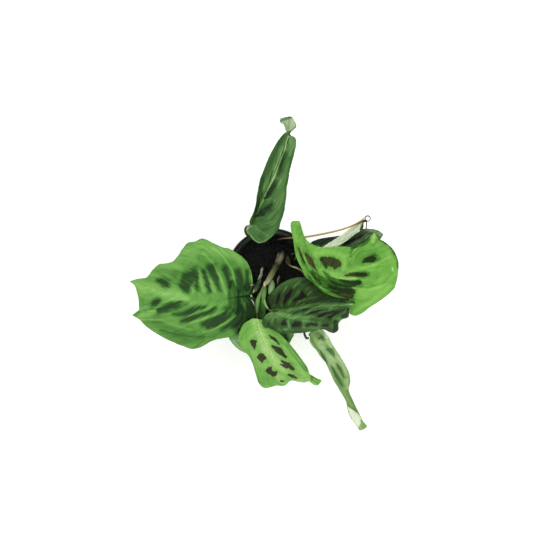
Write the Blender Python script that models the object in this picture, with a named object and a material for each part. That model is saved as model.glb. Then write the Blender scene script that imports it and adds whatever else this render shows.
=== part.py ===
"""A prayer plant (maranta) in a round plastic nursery pot.

Leaves with waved margins stand on petioles over the rim and droop outside it.
The pot's axis is the Z axis, and the origin is the middle of the pot's base.
Leaf and stem points are in millimetres; MM turns them to metres.
"""

import math

import bmesh
import bpy
import numpy as np

MM = 0.001

# Driving dimensions of the pot and its soil, in millimetres
POT_HEIGHT = 90.0
RIM_RADIUS = 50.0
BASE_RADIUS = 36.0
BODY_TOP_RADIUS = 47.6
LIP_HEIGHT = 11.0
LIP_TAPER = 0.7
EDGE = 0.4
WALL = 1.2
FLOOR = 1.6
DRAIN_HOLES = 8
DRAIN_RADIUS = 3.5
DRAIN_CIRCLE = 26.0
DRAIN_TURN = 0.46
SOIL_HEIGHT = 61.0
SOIL_SWELL = 1.3
SMALL_MOUND = 3.4
LARGE_MOUND = 5.2
SOIL_RINGS = (0.0, 8.0, 16.0, 24.0, 32.0, 38.0)
SOIL_LEVELS = (SOIL_HEIGHT, 40.0, 20.0)
AROUND = 48
HOLE_SIDES = 16
FOOT_SIDES = 12

# Clearances and blade, in millimetres
GAP = 0.3
BLADE = 0.7
STEM_SINK = 11.0
HOLE_ROOM = 0.4
TUBE_PIECE = 7.0
TUBE_LEAST = 6
TUBE_SIDES = 2

# Each row is t, x, y, z: t runs from 0 at the petiole to 1 at the tip.
# Left and right are the margins as seen from above, looking from base to tip.
LEAVES = {
    "leaf_left": dict(
        rows=26, columns=8, arch=(0.03, 0.06), colour=(0.10, 0.33, 0.04),
        rib=((0, -25, -24, 97), (0.12, -30, -25, 98), (0.25, -37, -26, 99.5), (0.38, -45, -27, 101),
             (0.5, -54, -27, 103), (0.62, -68, -27, 105), (0.75, -88, -26, 106),
             (0.88, -116, -19, 103), (1, -154, -8, 96)),
        left=((0, -25, -24, 97), (0.08, -11, -29, 97), (0.16, -7, -41, 96), (0.24, -15, -54, 94),
              (0.32, -30, -63, 92), (0.42, -47, -69, 91), (0.5, -65, -73, 89), (0.58, -82, -82, 86),
              (0.65, -95, -80, 85), (0.74, -116, -70, 85), (0.82, -137, -57, 87),
              (0.88, -152, -44, 92), (0.92, -144, -38, 96), (0.96, -143, -25, 97),
              (1, -154, -8, 96)),
        right=((0, -25, -24, 97), (0.08, -21, -11, 99), (0.16, -23, 3, 101), (0.25, -28, 14, 104),
               (0.33, -40, 24, 107), (0.42, -57, 30, 110), (0.5, -74, 38, 110),
               (0.56, -87, 35, 111), (0.63, -97, 25, 112), (0.71, -108, 11, 110),
               (0.8, -119, 11, 106), (0.88, -131, 0, 103), (0.95, -143, -4, 99),
               (1, -154, -8, 96)),
    ),
    "leaf_rear": dict(
        rows=30, columns=6, arch=(0.05, 0.10), colour=(0.05, 0.20, 0.04),
        rib=((0, -22, 52, 103), (0.1, -17, 65, 105), (0.26, -11, 76, 108), (0.43, -3, 94, 113),
             (0.6, 5, 111, 118), (0.74, 12, 129, 123), (0.85, 18, 147, 129),
             (0.91, 19, 153, 130), (0.96, 16, 159, 131), (1, 8, 163, 130)),
        left=((0, -22, 52, 103), (0.09, -23, 57, 109), (0.17, -20, 66, 114), (0.26, -16, 75, 118),
              (0.35, -13, 87, 122), (0.47, -6, 110, 127), (0.6, 2, 129, 130),
              (0.74, 10, 140, 132), (0.85, 19, 148, 133), (0.9, 25, 154, 132),
              (0.95, 22, 162, 132), (1, 8, 163, 130)),
        right=((0, -22, 52, 103), (0.07, -23, 43, 101), (0.12, -17, 36, 101), (0.17, -10, 33, 102),
               (0.23, -1, 37, 104), (0.3, 5, 46, 107), (0.39, 11, 61, 111), (0.47, 14, 79, 115),
               (0.56, 17, 99, 119), (0.65, 20, 117, 123), (0.74, 24, 136, 127),
               (0.79, 24, 143, 127), (0.85, 18, 148, 125), (0.9, 14, 151, 127),
               (0.95, 11, 157, 129), (1, 8, 163, 130)),
    ),
    "leaf_front": dict(
        rows=24, columns=8, arch=(0.08, 0.08), colour=(0.17, 0.45, 0.05),
        rib=((0, -16, -48, 101), (0.15, -14, -58, 99.5), (0.3, -10, -68, 96), (0.45, -4, -80, 91),
             (0.6, 6, -93, 85), (0.75, 19, -105, 79), (0.88, 37, -116, 72), (1, 55, -123, 65)),
        left=((0, -16, -48, 101), (0.1, -11, -50, 101), (0.2, -3, -58, 99), (0.3, 5, -63, 96),
              (0.4, 13, -70, 92), (0.52, 23, -82, 87), (0.66, 33, -96, 81), (0.8, 42, -110, 75),
              (0.9, 48, -117, 70), (1, 55, -123, 65)),
        right=((0, -16, -48, 101), (0.1, -23, -49, 101), (0.18, -31, -55, 100), (0.26, -36, -66, 97),
               (0.34, -34, -79, 92), (0.42, -24, -92, 84), (0.5, -18, -108, 75),
               (0.58, -13, -124, 67), (0.64, -7, -129, 63), (0.7, 5, -126, 64),
               (0.76, 15, -128, 62), (0.82, 22, -120, 66), (0.9, 36, -122, 65),
               (0.96, 47, -125, 63), (1, 55, -123, 65)),
    ),
    "leaf_middle": dict(
        rows=24, columns=8, arch=(0.08, 0.10), colour=(0.06, 0.24, 0.05),
        rib=((0, 3, -41, 104), (0.2, 15, -46, 107), (0.4, 30, -49, 108), (0.6, 47, -50, 108),
             (0.8, 65, -51, 106), (0.93, 77, -48, 102), (1, 83, -45, 95)),
        left=((0, 3, -41, 104), (0.1, 8, -39, 104), (0.22, 19, -38, 104), (0.36, 32, -35, 105),
              (0.5, 46, -33, 106), (0.65, 60, -34, 106), (0.8, 73, -35, 106),
              (0.9, 81, -37, 104), (0.96, 84, -41, 99), (1, 83, -45, 95)),
        right=((0, 3, -41, 104), (0.05, -4, -42, 105), (0.1, -10, -49, 106), (0.16, -9, -57, 105),
               (0.24, 0, -61, 104), (0.34, 12, -64, 103), (0.46, 28, -64, 101),
               (0.58, 44, -62, 100), (0.68, 54, -60, 101), (0.78, 68, -65, 98),
               (0.84, 73, -61, 98), (0.91, 74, -51, 99), (0.96, 81, -49, 96), (1, 83, -45, 95)),
    ),
    "leaf_lower": dict(
        rows=20, columns=8, arch=(0.05, 0.04), colour=(0.05, 0.19, 0.04),
        rib=((0, -1, -38, 96), (0.25, 14, -38, 97), (0.5, 34, -34, 98), (0.75, 60, -33, 99),
             (0.88, 75, -32, 104.5), (1, 90, -31, 110)),
        left=((0, -1, -38, 96), (0.08, -5, -29, 96), (0.16, -3, -22, 97), (0.25, 4, -15, 98),
              (0.35, 14, -8, 98), (0.45, 27, -4, 99), (0.55, 40, -6, 99), (0.65, 51, -15, 99),
              (0.75, 63, -24, 99), (0.87, 77, -30.5, 105.5), (1, 90, -31, 110)),
        right=((0, -1, -38, 96), (0.15, 4, -47, 95), (0.4, 22, -50, 95), (0.65, 50, -46, 96),
               (0.85, 72, -36, 101.5), (1, 90, -31, 110)),
    ),
    "leaf_right": dict(
        rows=28, columns=10, arch=(-0.16, 0.04), colour=(0.16, 0.43, 0.04),
        rib=((0, 36, -3, 108), (0.2, 49, -7, 110), (0.4, 64, -7, 112), (0.6, 79, 0, 114),
             (0.8, 91, 17, 117), (0.92, 100, 31, 119), (1, 108, 44, 121)),
        left=((0, 36, -3, 108), (0.06, 31, 7, 114), (0.12, 25, 19, 121), (0.18, 22, 35, 130),
              (0.25, 20, 52, 140), (0.29, 25, 55, 144), (0.34, 30, 47, 143), (0.41, 33, 37, 140),
              (0.5, 42, 30, 137), (0.6, 56, 28, 135), (0.7, 72, 29, 133), (0.8, 85, 29, 130),
              (0.9, 97, 34, 126), (1, 108, 44, 121)),
        right=((0, 36, -3, 108), (0.09, 41, -9, 107), (0.17, 52, -19, 106), (0.25, 67, -25, 104),
               (0.32, 79, -28, 99), (0.38, 86, -36, 98), (0.43, 88, -44, 99),
               (0.5, 98, -42, 101), (0.56, 108, -34, 104), (0.63, 120, -24, 108),
               (0.7, 130, -14, 112), (0.78, 132, 3, 117), (0.86, 132, 18, 120),
               (0.93, 121, 33, 122), (0.97, 113, 39, 122), (1, 108, 44, 121)),
    ),
    "leaf_trailing": dict(
        rows=24, columns=6, arch=(0.08, 0.08), colour=(0.22, 0.42, 0.14),
        rib=((0, 42, -69, 85), (0.15, 50, -78, 83), (0.3, 58, -89, 78), (0.45, 67, -101, 72),
             (0.6, 77, -116, 65), (0.72, 84, -129, 59), (0.85, 93, -147, 53), (1, 104, -178, 44)),
        left=((0, 42, -69, 85), (0.04, 40, -66, 86), (0.08, 45, -60, 88), (0.13, 54, -59, 89),
              (0.18, 61, -66, 88), (0.26, 69, -79, 84), (0.36, 79, -96, 78), (0.47, 86, -110, 71),
              (0.57, 88, -121, 66), (0.66, 87, -131, 62), (0.76, 92, -144, 57),
              (0.87, 101, -160, 52), (0.96, 107, -175, 46), (1, 104, -178, 44)),
        right=((0, 42, -69, 85), (0.06, 41, -74, 83), (0.2, 49, -85, 79), (0.32, 54, -93, 74),
               (0.43, 62, -103, 68), (0.55, 69, -119, 62), (0.66, 76, -131, 57),
               (0.76, 85, -146, 52), (0.86, 87, -158, 48), (0.94, 95, -170, 45),
               (1, 104, -178, 44)),
    ),
    "leaf_back": dict(
        rows=18, columns=6, arch=(0.04, 0.04), colour=(0.02, 0.09, 0.03),
        rib=((0, 39, 30, 100), (0.3, 58, 29, 101), (0.6, 81, 33, 102), (0.85, 103, 38, 103),
             (1, 120, 43, 104)),
        left=((0, 39, 30, 100), (0.1, 42, 34, 101), (0.2, 50, 38, 102), (0.35, 63, 40, 103),
              (0.5, 77, 42, 103), (0.65, 90, 46, 104), (0.8, 102, 49, 104), (0.92, 114, 47, 104),
              (1, 120, 43, 104)),
        right=((0, 39, 30, 100), (0.15, 43, 23, 99), (0.4, 63, 18, 99), (0.65, 84, 22, 100),
               (0.85, 106, 30, 101), (0.95, 117, 38, 103), (1, 120, 43, 104)),
    ),
    "leaf_folded": dict(
        rows=16, columns=4, arch=(0.08, 0.08), colour=(0.45, 0.56, 0.36),
        rib=((0, 98.4, 58, 114.8), (0.3, 85, 48, 112), (0.65, 68, 36, 110), (1, 50, 26, 108)),
        left=((0, 98.4, 58, 114.8), (0.2, 93, 47, 112), (0.45, 80, 36, 110), (0.75, 65, 28, 109),
              (1, 50, 26, 108)),
        right=((0, 98.4, 58, 114.8), (0.2, 91, 53, 110), (0.5, 76, 41, 107), (0.8, 61, 31, 106),
               (1, 50, 26, 108)),
    ),
    "leaf_under": dict(
        rows=20, columns=8, arch=(0.05, 0.05), colour=(0.14, 0.30, 0.10),
        rib=((0, -11, -57, 89), (0.35, -10, -69, 83), (0.7, -8, -83, 73), (1, -6, -97, 60)),
        left=((0, -11, -57, 89), (0.15, 0, -56, 90), (0.3, 14, -58, 88), (0.45, 24, -65, 84),
              (0.6, 22, -72, 80), (0.75, 16, -82, 74), (0.9, 5, -92, 65), (1, -6, -97, 60)),
        right=((0, -11, -57, 89), (0.15, -22, -55, 90), (0.3, -37, -59, 88), (0.45, -47, -68, 83),
               (0.6, -45, -75, 79), (0.7, -40, -81, 76), (0.8, -34, -86, 73), (0.9, -24, -91, 68),
               (1, -6, -97, 60)),
    ),
}

# Each row is x, y, z, radius, from the root end to the leaf end.
STEMS = {
    "stem_main": dict(
        rooted=True, colour=(0.42, 0.38, 0.22),
        path=((13, 26, 0, 2.3), (13, 26, 65, 2.3), (11, 20, 76, 2.2), (2, 4, 88, 2.4),
              (-4, -7, 94, 2.5), (-7.5, -12.5, 97, 2.2)),
    ),
    "petiole_left": dict(
        rooted=True, colour=(0.30, 0.42, 0.16),
        path=((-8, 7, 0, 2.0), (-8, 7, 66, 2.0), (-11, 5, 82, 2.0), (-13, -5, 90, 1.9),
              (-18, -16, 94, 1.8), (-24.2, -23.2, 94.9, 1.5)),
    ),
    "petiole_rear": dict(
        rooted=True, colour=(0.10, 0.12, 0.07),
        path=((-2, 33, 0, 1.3), (-2, 33, 66, 1.3), (-8, 37, 82, 1.3), (-20, 43, 94, 1.3),
              (-28, 48.5, 98, 1.4), (-28, 52.6, 100.6, 1.4), (-22.6, 52.2, 101.6, 1.1)),
    ),
    "petiole_front": dict(
        rooted=False, colour=(0.36, 0.55, 0.20),
        path=((-9.1, -12.5, 97.4, 1.1), (-10.5, -20, 99.8, 1.5), (-13, -32, 101.5, 1.7),
              (-15, -41, 100.8, 1.4), (-16, -47.6, 99.2, 1.2)),
    ),
    "petiole_middle": dict(
        rooted=False, colour=(0.36, 0.55, 0.20),
        path=((-6.8, -13.9, 97.4, 1.1), (-7, -21, 100.6, 1.5), (-7.3, -29, 102.4, 1.5),
              (-5, -36, 103, 1.3), (-1, -40, 102.6, 1.4), (2.6, -41, 102.2, 1.2)),
    ),
    "petiole_lower": dict(
        rooted=True, colour=(0.34, 0.48, 0.24),
        path=((3, 6, 0, 1.5), (3, 6, 66, 1.5), (2, -4, 82, 1.8), (1, -16, 89, 2.0),
              (0, -28, 92, 1.5), (-1, -37.4, 93.8, 1.3)),
    ),
    "petiole_right": dict(
        rooted=True, colour=(0.40, 0.42, 0.20),
        path=((16, 17, 0, 1.5), (16, 17, 66, 1.5), (17, 12, 82, 1.5), (21, 8, 94, 1.5),
              (28, 4, 102, 1.5), (35.4, -2.6, 106.4, 1.2)),
    ),
    "petiole_trailing": dict(
        rooted=True, colour=(0.05, 0.05, 0.03),
        path=((8, -8, 0, 1.1), (8, -8, 64, 1.1), (12, -20, 80, 1.1), (18, -34, 88.5, 1.1),
              (25, -46, 92.3, 1.1), (31, -56, 92, 1.1), (35, -63, 90.5, 1.2),
              (36.4, -68, 87, 1.4), (38.6, -71, 84.2, 1.3), (41, -70.2, 82.9, 1.0)),
    ),
    "petiole_back": dict(
        rooted=True, colour=(0.20, 0.24, 0.12),
        path=((13, 35, 0, 1.2), (13, 35, 66, 1.2), (18, 36, 82, 1.2), (28, 33, 92, 1.2),
              (38.5, 30.2, 98.7, 1.1)),
    ),
    "petiole_under": dict(
        rooted=True, colour=(0.24, 0.34, 0.14),
        path=((-3, -12, 0, 1.0), (-3, -12, 64, 1.0), (-4, -26, 80, 1.0), (-7, -40, 89, 1.0),
              (-9.5, -49, 91.6, 1.0), (-10.8, -54, 90.6, 1.0), (-11, -56.6, 87.1, 1.0)),
    ),
    "runner": dict(
        rooted=True, colour=(0.30, 0.18, 0.07),
        path=((4, 32, 0, 0.9), (4, 32, 66, 0.9), (8, 36, 80, 0.9), (20, 38, 91, 0.9),
              (34, 39.5, 98, 0.8), (56, 43.5, 106, 0.8), (80, 49.5, 114, 0.8), (98, 59, 116, 0.8)),
    ),
}

# The small ring and stalk at the runner's end, in millimetres
RING_CENTRE = (101.5, 60.5, 114.8)
RING_RADIUS = 2.6
RING_TURN = math.radians(300)
RING_START = math.radians(215)
RING_WIRE = 0.5
RING_POINTS = 13
STALK_POINTS = 4
STALK_END = (101.0, 48.8, 105.3)


def clear_scene():
    for thing in list(bpy.data.objects):
        bpy.data.objects.remove(thing, do_unlink=True)


def make_material(name, colour, roughness):
    material = bpy.data.materials.new(name)
    material.use_nodes = True
    shader = material.node_tree.nodes["Principled BSDF"]
    shader.inputs["Base Color"].default_value = (*colour, 1.0)
    shader.inputs["Roughness"].default_value = roughness
    return material


def add_object(name, data, material):
    thing = bpy.data.objects.new(name, data)
    thing.data.materials.append(material)
    bpy.context.scene.collection.objects.link(thing)
    return thing


def through(knots, values, at):
    """Smooth curve through the values given at the knots, read at the places in at."""
    step = np.diff(knots)[:, None]
    slope = np.diff(values, axis=0) / step
    tangent = np.empty_like(values)
    tangent[1:-1] = (slope[:-1] * step[1:] + slope[1:] * step[:-1]) / (step[1:] + step[:-1])
    tangent[0], tangent[-1] = slope[0], slope[-1]
    i = np.clip(np.searchsorted(knots, at, side="right") - 1, 0, len(knots) - 2)
    u = (at - knots[i])[:, None] / step[i]
    start = (1 + 2 * u) * (1 - u) ** 2 * values[i] + u * (1 - u) ** 2 * step[i] * tangent[i]
    end = u**2 * (3 - 2 * u) * values[i + 1] + u**2 * (u - 1) * step[i] * tangent[i + 1]
    return start + end


def blade_grid(leaf):
    """Rows from base to tip, columns from right margin over the rib to left margin."""
    t = np.linspace(0, 1, leaf["rows"] + 1)
    s = np.linspace(-1, 1, leaf["columns"] + 1)[None, :, None]
    rib, left, right = (
        through(np.array(leaf[side], float)[:, 0], np.array(leaf[side], float)[:, 1:], t)
        for side in ("rib", "left", "right")
    )
    across = np.where(s > 0, left[:, None], right[:, None]) - rib[:, None]
    width = np.linalg.norm(across, axis=2)
    u = np.abs(s)
    points = rib[:, None] + across * u
    arch = np.where(s > 0, *leaf["arch"])[..., 0]
    points[..., 2] += arch * 4 * (u * (1 - u))[..., 0] * width
    return points


def blade_faces(rows, columns):
    """Triangles of the grid, whose first and last rows are one point each."""
    across = columns + 1
    index = np.arange(1 - across, 1 - across + (rows + 1) * across).reshape(rows + 1, across)
    index[0] = 0
    index[-1] = index[-2, -1] + 1
    a, b, c, d = index[:-1, :-1], index[1:, :-1], index[1:, 1:], index[:-1, 1:]
    halves = [np.stack(corners, -1).reshape(-1, 3) for corners in ((a, b, c), (a, c, d))]
    faces = np.concatenate(halves)
    distinct = [len(set(face)) == 3 for face in faces.tolist()]
    return faces[distinct]


def make_leaf(name, leaf):
    grid = blade_grid(leaf)
    points = np.concatenate([grid[0, :1], grid[1:-1].reshape(-1, 3), grid[-1, :1]])
    mesh = bpy.data.meshes.new(name)
    mesh.from_pydata((points * MM).tolist(), [], blade_faces(leaf["rows"], leaf["columns"]).tolist())
    mesh.shade_smooth()
    thing = add_object(name, mesh, make_material(name, leaf["colour"], 0.45))
    solid = thing.modifiers.new("Blade", "SOLIDIFY")
    solid.thickness = BLADE * MM
    solid.offset = 0
    return thing


def make_tube(name, path, colour, roughness=0.5):
    """A curve with round section through the rows x, y, z, radius."""
    curve = bpy.data.curves.new(name, "CURVE")
    curve.dimensions = "3D"
    curve.bevel_depth = MM
    curve.bevel_resolution = TUBE_SIDES
    curve.use_fill_caps = True
    spline = curve.splines.new("POLY")
    spline.points.add(len(path) - 1)
    for point, (x, y, z, radius) in zip(spline.points, path):
        point.co = (x * MM, y * MM, z * MM, 1)
        point.radius = radius
    return add_object(name, curve, make_material(name, colour, roughness))


def stem_route(stem):
    """The stem's points on a smooth curve, with a straight foot sunk in the soil."""
    path = np.array(stem["path"], float)
    if stem["rooted"]:
        path[0, 2] = SOIL_HEIGHT - STEM_SINK + GAP
    reach = np.concatenate([[0], np.cumsum(np.linalg.norm(np.diff(path[:, :3], axis=0), axis=1))])
    pieces = max(TUBE_LEAST, int(reach[-1] / TUBE_PIECE))
    first = 1 if stem["rooted"] else 0
    at = np.linspace(reach[first], reach[-1], pieces + 1)
    route = through(reach, path, at)
    return np.concatenate([path[:first], route])


def ring_route():
    """Most of a turn round the ring's centre, then down the stalk."""
    x, y, z = RING_CENTRE
    turns = np.linspace(RING_START, RING_START - RING_TURN, RING_POINTS)
    ring = [(x + RING_RADIUS * math.cos(a), y + RING_RADIUS * math.sin(a), z) for a in turns]
    stalk = np.linspace(ring[-1], STALK_END, STALK_POINTS)[1:]
    return [(*point, RING_WIRE) for point in (*ring, *stalk)]


def turned_mesh(name, profile):
    """The closed profile of (radius, height) carried once round the Z axis."""
    shape = bmesh.new()
    points = [shape.verts.new((radius * MM, 0, height * MM)) for radius, height in profile]
    edges = [shape.edges.new(pair) for pair in zip(points, points[1:] + points[:1])
             if pair[0].co.x > 0 or pair[1].co.x > 0]
    bmesh.ops.spin(shape, geom=points + edges, axis=(0, 0, 1), cent=(0, 0, 0),
                   steps=AROUND, angle=math.tau, use_merge=True)
    bmesh.ops.remove_doubles(shape, verts=shape.verts, dist=1e-6)
    bmesh.ops.recalc_face_normals(shape, faces=shape.faces)
    mesh = bpy.data.meshes.new(name)
    shape.to_mesh(mesh)
    shape.free()
    return mesh


def wall_radius(height):
    """The pot's outer radius under the lip."""
    return BASE_RADIUS + (BODY_TOP_RADIUS - BASE_RADIUS) * height / POT_HEIGHT


def make_pot():
    lip_foot = POT_HEIGHT - LIP_HEIGHT
    profile = (
        (RIM_RADIUS - EDGE, POT_HEIGHT), (RIM_RADIUS, POT_HEIGHT - EDGE),
        (RIM_RADIUS - LIP_TAPER, lip_foot), (wall_radius(lip_foot), lip_foot - WALL),
        (wall_radius(EDGE), EDGE), (BASE_RADIUS - EDGE, 0), (0, 0), (0, FLOOR),
        (wall_radius(FLOOR) - WALL, FLOOR), (wall_radius(lip_foot) - WALL, lip_foot - WALL),
        (RIM_RADIUS - LIP_TAPER - WALL, lip_foot + WALL / 2), (RIM_RADIUS - WALL, POT_HEIGHT),
    )
    material = make_material("pot", (0.012, 0.016, 0.014), 0.4)
    pot = add_object("pot", turned_mesh("pot", profile), material)
    pot.data.shade_smooth()
    pot.data.set_sharp_from_angle(angle=math.radians(30))
    for number in range(DRAIN_HOLES):
        turn = math.tau * (number + DRAIN_TURN) / DRAIN_HOLES
        place = (DRAIN_CIRCLE * MM * math.cos(turn), DRAIN_CIRCLE * MM * math.sin(turn))
        name = "drain_%d" % number
        cut(pot, add_cutter(name, DRAIN_RADIUS, -FLOOR, 2 * FLOOR, place, HOLE_SIDES))
    return pot


def add_cutter(name, radius, low, high, place, sides):
    """A hidden upright cylinder between two heights, in millimetres."""
    bpy.ops.mesh.primitive_cylinder_add(
        vertices=sides, radius=radius * MM, depth=(high - low) * MM,
        location=(place[0], place[1], (low + high) / 2 * MM),
    )
    cutter = bpy.context.object
    cutter.name = name + "_cutter"
    cutter.hide_render = True
    cutter.display_type = "WIRE"
    return cutter


def cut(thing, cutter):
    hole = thing.modifiers.new(cutter.name, "BOOLEAN")
    hole.operation = "DIFFERENCE"
    hole.object = cutter


def soil_swell(x, y):
    """Height of the low mounds over the level top, which fade out at the wall."""
    small = math.sin(x / SMALL_MOUND + 1.0) * math.cos(y / SMALL_MOUND)
    large = math.sin((x + 2 * y) / LARGE_MOUND)
    fade = 1 - (math.hypot(x, y) / wall_radius(SOIL_HEIGHT)) ** 4
    return SOIL_SWELL * (small + 0.6 * large) * fade


def make_soil():
    """The root ball fills the pot, with a low uneven top and a plain hole for each stem."""
    low = FLOOR + GAP
    wall = [(wall_radius(height) - WALL - GAP, height) for height in (*SOIL_LEVELS, low)]
    top = [(radius, SOIL_HEIGHT) for radius in SOIL_RINGS]
    mesh = turned_mesh("soil", (*wall, (0, low), *top))
    for point in mesh.vertices:
        if point.co.z > (SOIL_HEIGHT - GAP) * MM:
            point.co.z += soil_swell(point.co.x / MM, point.co.y / MM) * MM
    soil = add_object("soil", mesh, make_material("soil", (0.018, 0.013, 0.009), 0.95))
    floor, mouth = SOIL_HEIGHT - STEM_SINK, SOIL_HEIGHT + STEM_SINK
    for name, stem in STEMS.items():
        if stem["rooted"]:
            x, y, _, radius = stem["path"][0]
            place = (x * MM, y * MM)
            cut(soil, add_cutter(name + "_foot", radius + HOLE_ROOM, floor, mouth, place, FOOT_SIDES))
    return soil


def main():
    clear_scene()
    make_pot()
    make_soil()
    for name, stem in STEMS.items():
        make_tube(name, stem_route(stem), stem["colour"])
    make_tube("runner_ring", ring_route(), (0.22, 0.14, 0.08))
    for name, leaf in LEAVES.items():
        make_leaf(name, leaf)


main()
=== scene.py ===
import bpy
import numpy as np
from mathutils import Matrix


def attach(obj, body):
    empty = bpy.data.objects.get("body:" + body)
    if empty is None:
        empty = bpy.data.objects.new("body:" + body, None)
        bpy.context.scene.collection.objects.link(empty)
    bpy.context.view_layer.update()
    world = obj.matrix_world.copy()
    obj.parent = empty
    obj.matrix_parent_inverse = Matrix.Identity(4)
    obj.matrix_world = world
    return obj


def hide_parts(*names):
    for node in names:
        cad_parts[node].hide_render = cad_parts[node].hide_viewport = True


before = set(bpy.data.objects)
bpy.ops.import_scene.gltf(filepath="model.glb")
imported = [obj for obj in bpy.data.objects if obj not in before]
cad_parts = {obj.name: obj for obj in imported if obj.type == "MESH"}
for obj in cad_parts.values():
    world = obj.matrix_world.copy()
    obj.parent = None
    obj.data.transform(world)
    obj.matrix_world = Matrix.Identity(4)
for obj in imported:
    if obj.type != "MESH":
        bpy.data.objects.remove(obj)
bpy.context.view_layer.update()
print("frame loaded,", len(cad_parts), "nodes")

mm = 0.001    # metres

# The camera looks straight down. Marks on the leaves are read off the photograph, in its pixels.
photo = dict(
    middle=266.5,        # pixels, across and down
    pixel=1.094,         # millimetres that a pixel covers at the pot's rim
    rim=90,              # millimetres over the floor
    distance=900,        # millimetres from the rim up to the camera
    axis=(-6.0, 8.2),    # millimetres, the place that the camera stands over
)


def linear(hexColour):
    # sRGB to linear: c / 12.92 up to 0.04045, and ((c + 0.055) / 1.055) ^ 2.4 over it
    c = np.array([int(hexColour[i:i + 2], 16) for i in (1, 3, 5)]) / 255
    return (*np.where(c < 0.04045, c / 12.92, ((c + 0.055) / 1.055) ** 2.4).tolist(), 1.0)


def addNode(tree, kind, settings=None, inputs=None, output=0, stops=()):
    # one node with its settings; an input is a value, or a socket that is linked to it;
    # a colour ramp takes its stops as (place, hex colour) from low to high
    new = tree.nodes.new(kind)
    for name, value in (settings or {}).items():
        setattr(new, name, value)
    for name, value in (inputs or {}).items():
        if isinstance(value, bpy.types.NodeSocket):
            tree.links.new(value, new.inputs[name])
        else:
            new.inputs[name].default_value = value
    for number, (place, colour) in enumerate(stops):
        elements = new.color_ramp.elements
        element = elements[number] if number < 2 else elements.new(place)
        element.position, element.color = place, linear(colour)
    return new.outputs[output]


def startMaterial(name, ior, specular=0.5, roughness=0.5):
    # a material with the values that are the same all over it, set on the shader's own sockets
    material = bpy.data.materials.new(name)
    material.use_nodes = True
    shader = material.node_tree.nodes["Principled BSDF"]
    shader.inputs["IOR"].default_value = ior
    shader.inputs["Specular IOR Level"].default_value = specular
    shader.inputs["Roughness"].default_value = roughness
    return material, material.node_tree, shader


def through(rows, at):
    # smooth curve through rows of (knot, values...): cubic Hermite pieces with three-point slopes
    rows = np.array(rows, float)
    knots, values = rows[:, 0], rows[:, 1:]
    step = np.diff(knots)[:, None]
    slope = np.diff(values, axis=0) / step
    inner = (slope[:-1] * step[1:] + slope[1:] * step[:-1]) / (step[1:] + step[:-1])
    tangent = np.concatenate([slope[:1], inner, slope[-1:]])
    i = np.clip(np.searchsorted(knots, at, side="right") - 1, 0, len(knots) - 2)
    u = (at - knots[i])[:, None] / step[i]
    start = (1 + 2 * u) * (1 - u) ** 2 * values[i] + u * (1 - u) ** 2 * step[i] * tangent[i]
    end = u**2 * (3 - 2 * u) * values[i + 1] + u**2 * (u - 1) * step[i] * tangent[i + 1]
    return start + end


def pathOf(rows):
    # rows of a path with the distance walked before each put in front, and the whole distance
    rows = np.array(rows, float)
    reach = np.concatenate([[0], np.cumsum(np.linalg.norm(np.diff(rows[:, :3], axis=0), axis=1))])
    return np.column_stack([reach, rows]), reach[-1]


def ease(low, high, value):
    # 0 under low, 1 over high, and 3u^2 - 2u^3 between them
    u = np.clip((value - low) / (high - low), 0, 1)
    return u * u * (3 - 2 * u)


def unit(vectors):
    # each vector over its own length
    return vectors / np.maximum(np.linalg.norm(vectors, axis=-1, keepdims=True), 1e-9)


lattice = 97    # random heights on a side of the square, after which the lumps repeat


def lumps(x, y, size, seed):
    # value noise from -1 to 1: random heights on a square lattice of that size, eased between its points
    heights = np.random.default_rng(seed).random((lattice, lattice)) * 2 - 1
    i, j = np.floor(x / size).astype(int), np.floor(y / size).astype(int)
    u, v = ease(0, 1, x / size - i), ease(0, 1, y / size - j)
    i, j, nextI, nextJ = i % lattice, j % lattice, (i + 1) % lattice, (j + 1) % lattice
    near = heights[i, j] * (1 - u) + heights[nextI, j] * u
    far = heights[i, nextJ] * (1 - u) + heights[nextI, nextJ] * u
    return near * (1 - v) + far * v


def roundSheet(over, below):
    # rings round a thin sheet: across its upper face, and back between the margins across its lower one
    return np.concatenate([over, below[:, -2:0:-1]], axis=1)


def flat(values):
    # values on rings as one list, with the first and last ring taken as one point each
    values = values.reshape(*values.shape[:2], -1)
    return np.concatenate([values[0, :1], values[1:-1].reshape(-1, values.shape[2]), values[-1, :1]])


def loft(name, rings, materials, attributes=None, slotOfColumn=None):
    # a closed skin over rings of points in millimetres, whose first and last ring are one point each;
    # the faces are turned outwards, by the sign of the volume that they enclose
    n, m = rings.shape[:2]
    index = 1 + (np.arange(n)[:, None] - 1) * m + np.arange(m)
    index[0], index[-1] = 0, 1 + (n - 2) * m
    ahead = np.roll(index, -1, axis=1)
    first = np.stack([index[0], index[1], ahead[1]], -1)
    last = np.stack([index[-2], index[-1], ahead[-2]], -1)
    body = np.stack([index[1:-2], index[2:-1], ahead[2:-1], ahead[1:-2]], -1).reshape(-1, 4)
    points = flat(rings) * mm
    corners = points[body] - points.mean(0)
    across, down = corners[:, 2] - corners[:, 0], corners[:, 3] - corners[:, 1]
    turn = -1 if (np.cross(across, down) * corners.mean(1)).sum() < 0 else 1
    faces = first[:, ::turn].tolist() + body[:, ::turn].tolist() + last[:, ::turn].tolist()
    mesh = bpy.data.meshes.new(name)
    mesh.from_pydata(points.tolist(), [], faces)
    if slotOfColumn is not None:
        slots = np.concatenate([slotOfColumn, np.tile(slotOfColumn, n - 3), slotOfColumn])
        mesh.polygons.foreach_set("material_index", slots.astype(np.int32))
    for label, values in (attributes or {}).items():
        kind, field = ("FLOAT_VECTOR", "vector") if values.ndim == 3 else ("FLOAT", "value")
        layer = mesh.attributes.new(label, kind, "POINT")
        layer.data.foreach_set(field, flat(values).astype(np.float32).ravel())
    mesh.shade_smooth()
    return addPiece(name, mesh, materials)


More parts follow.
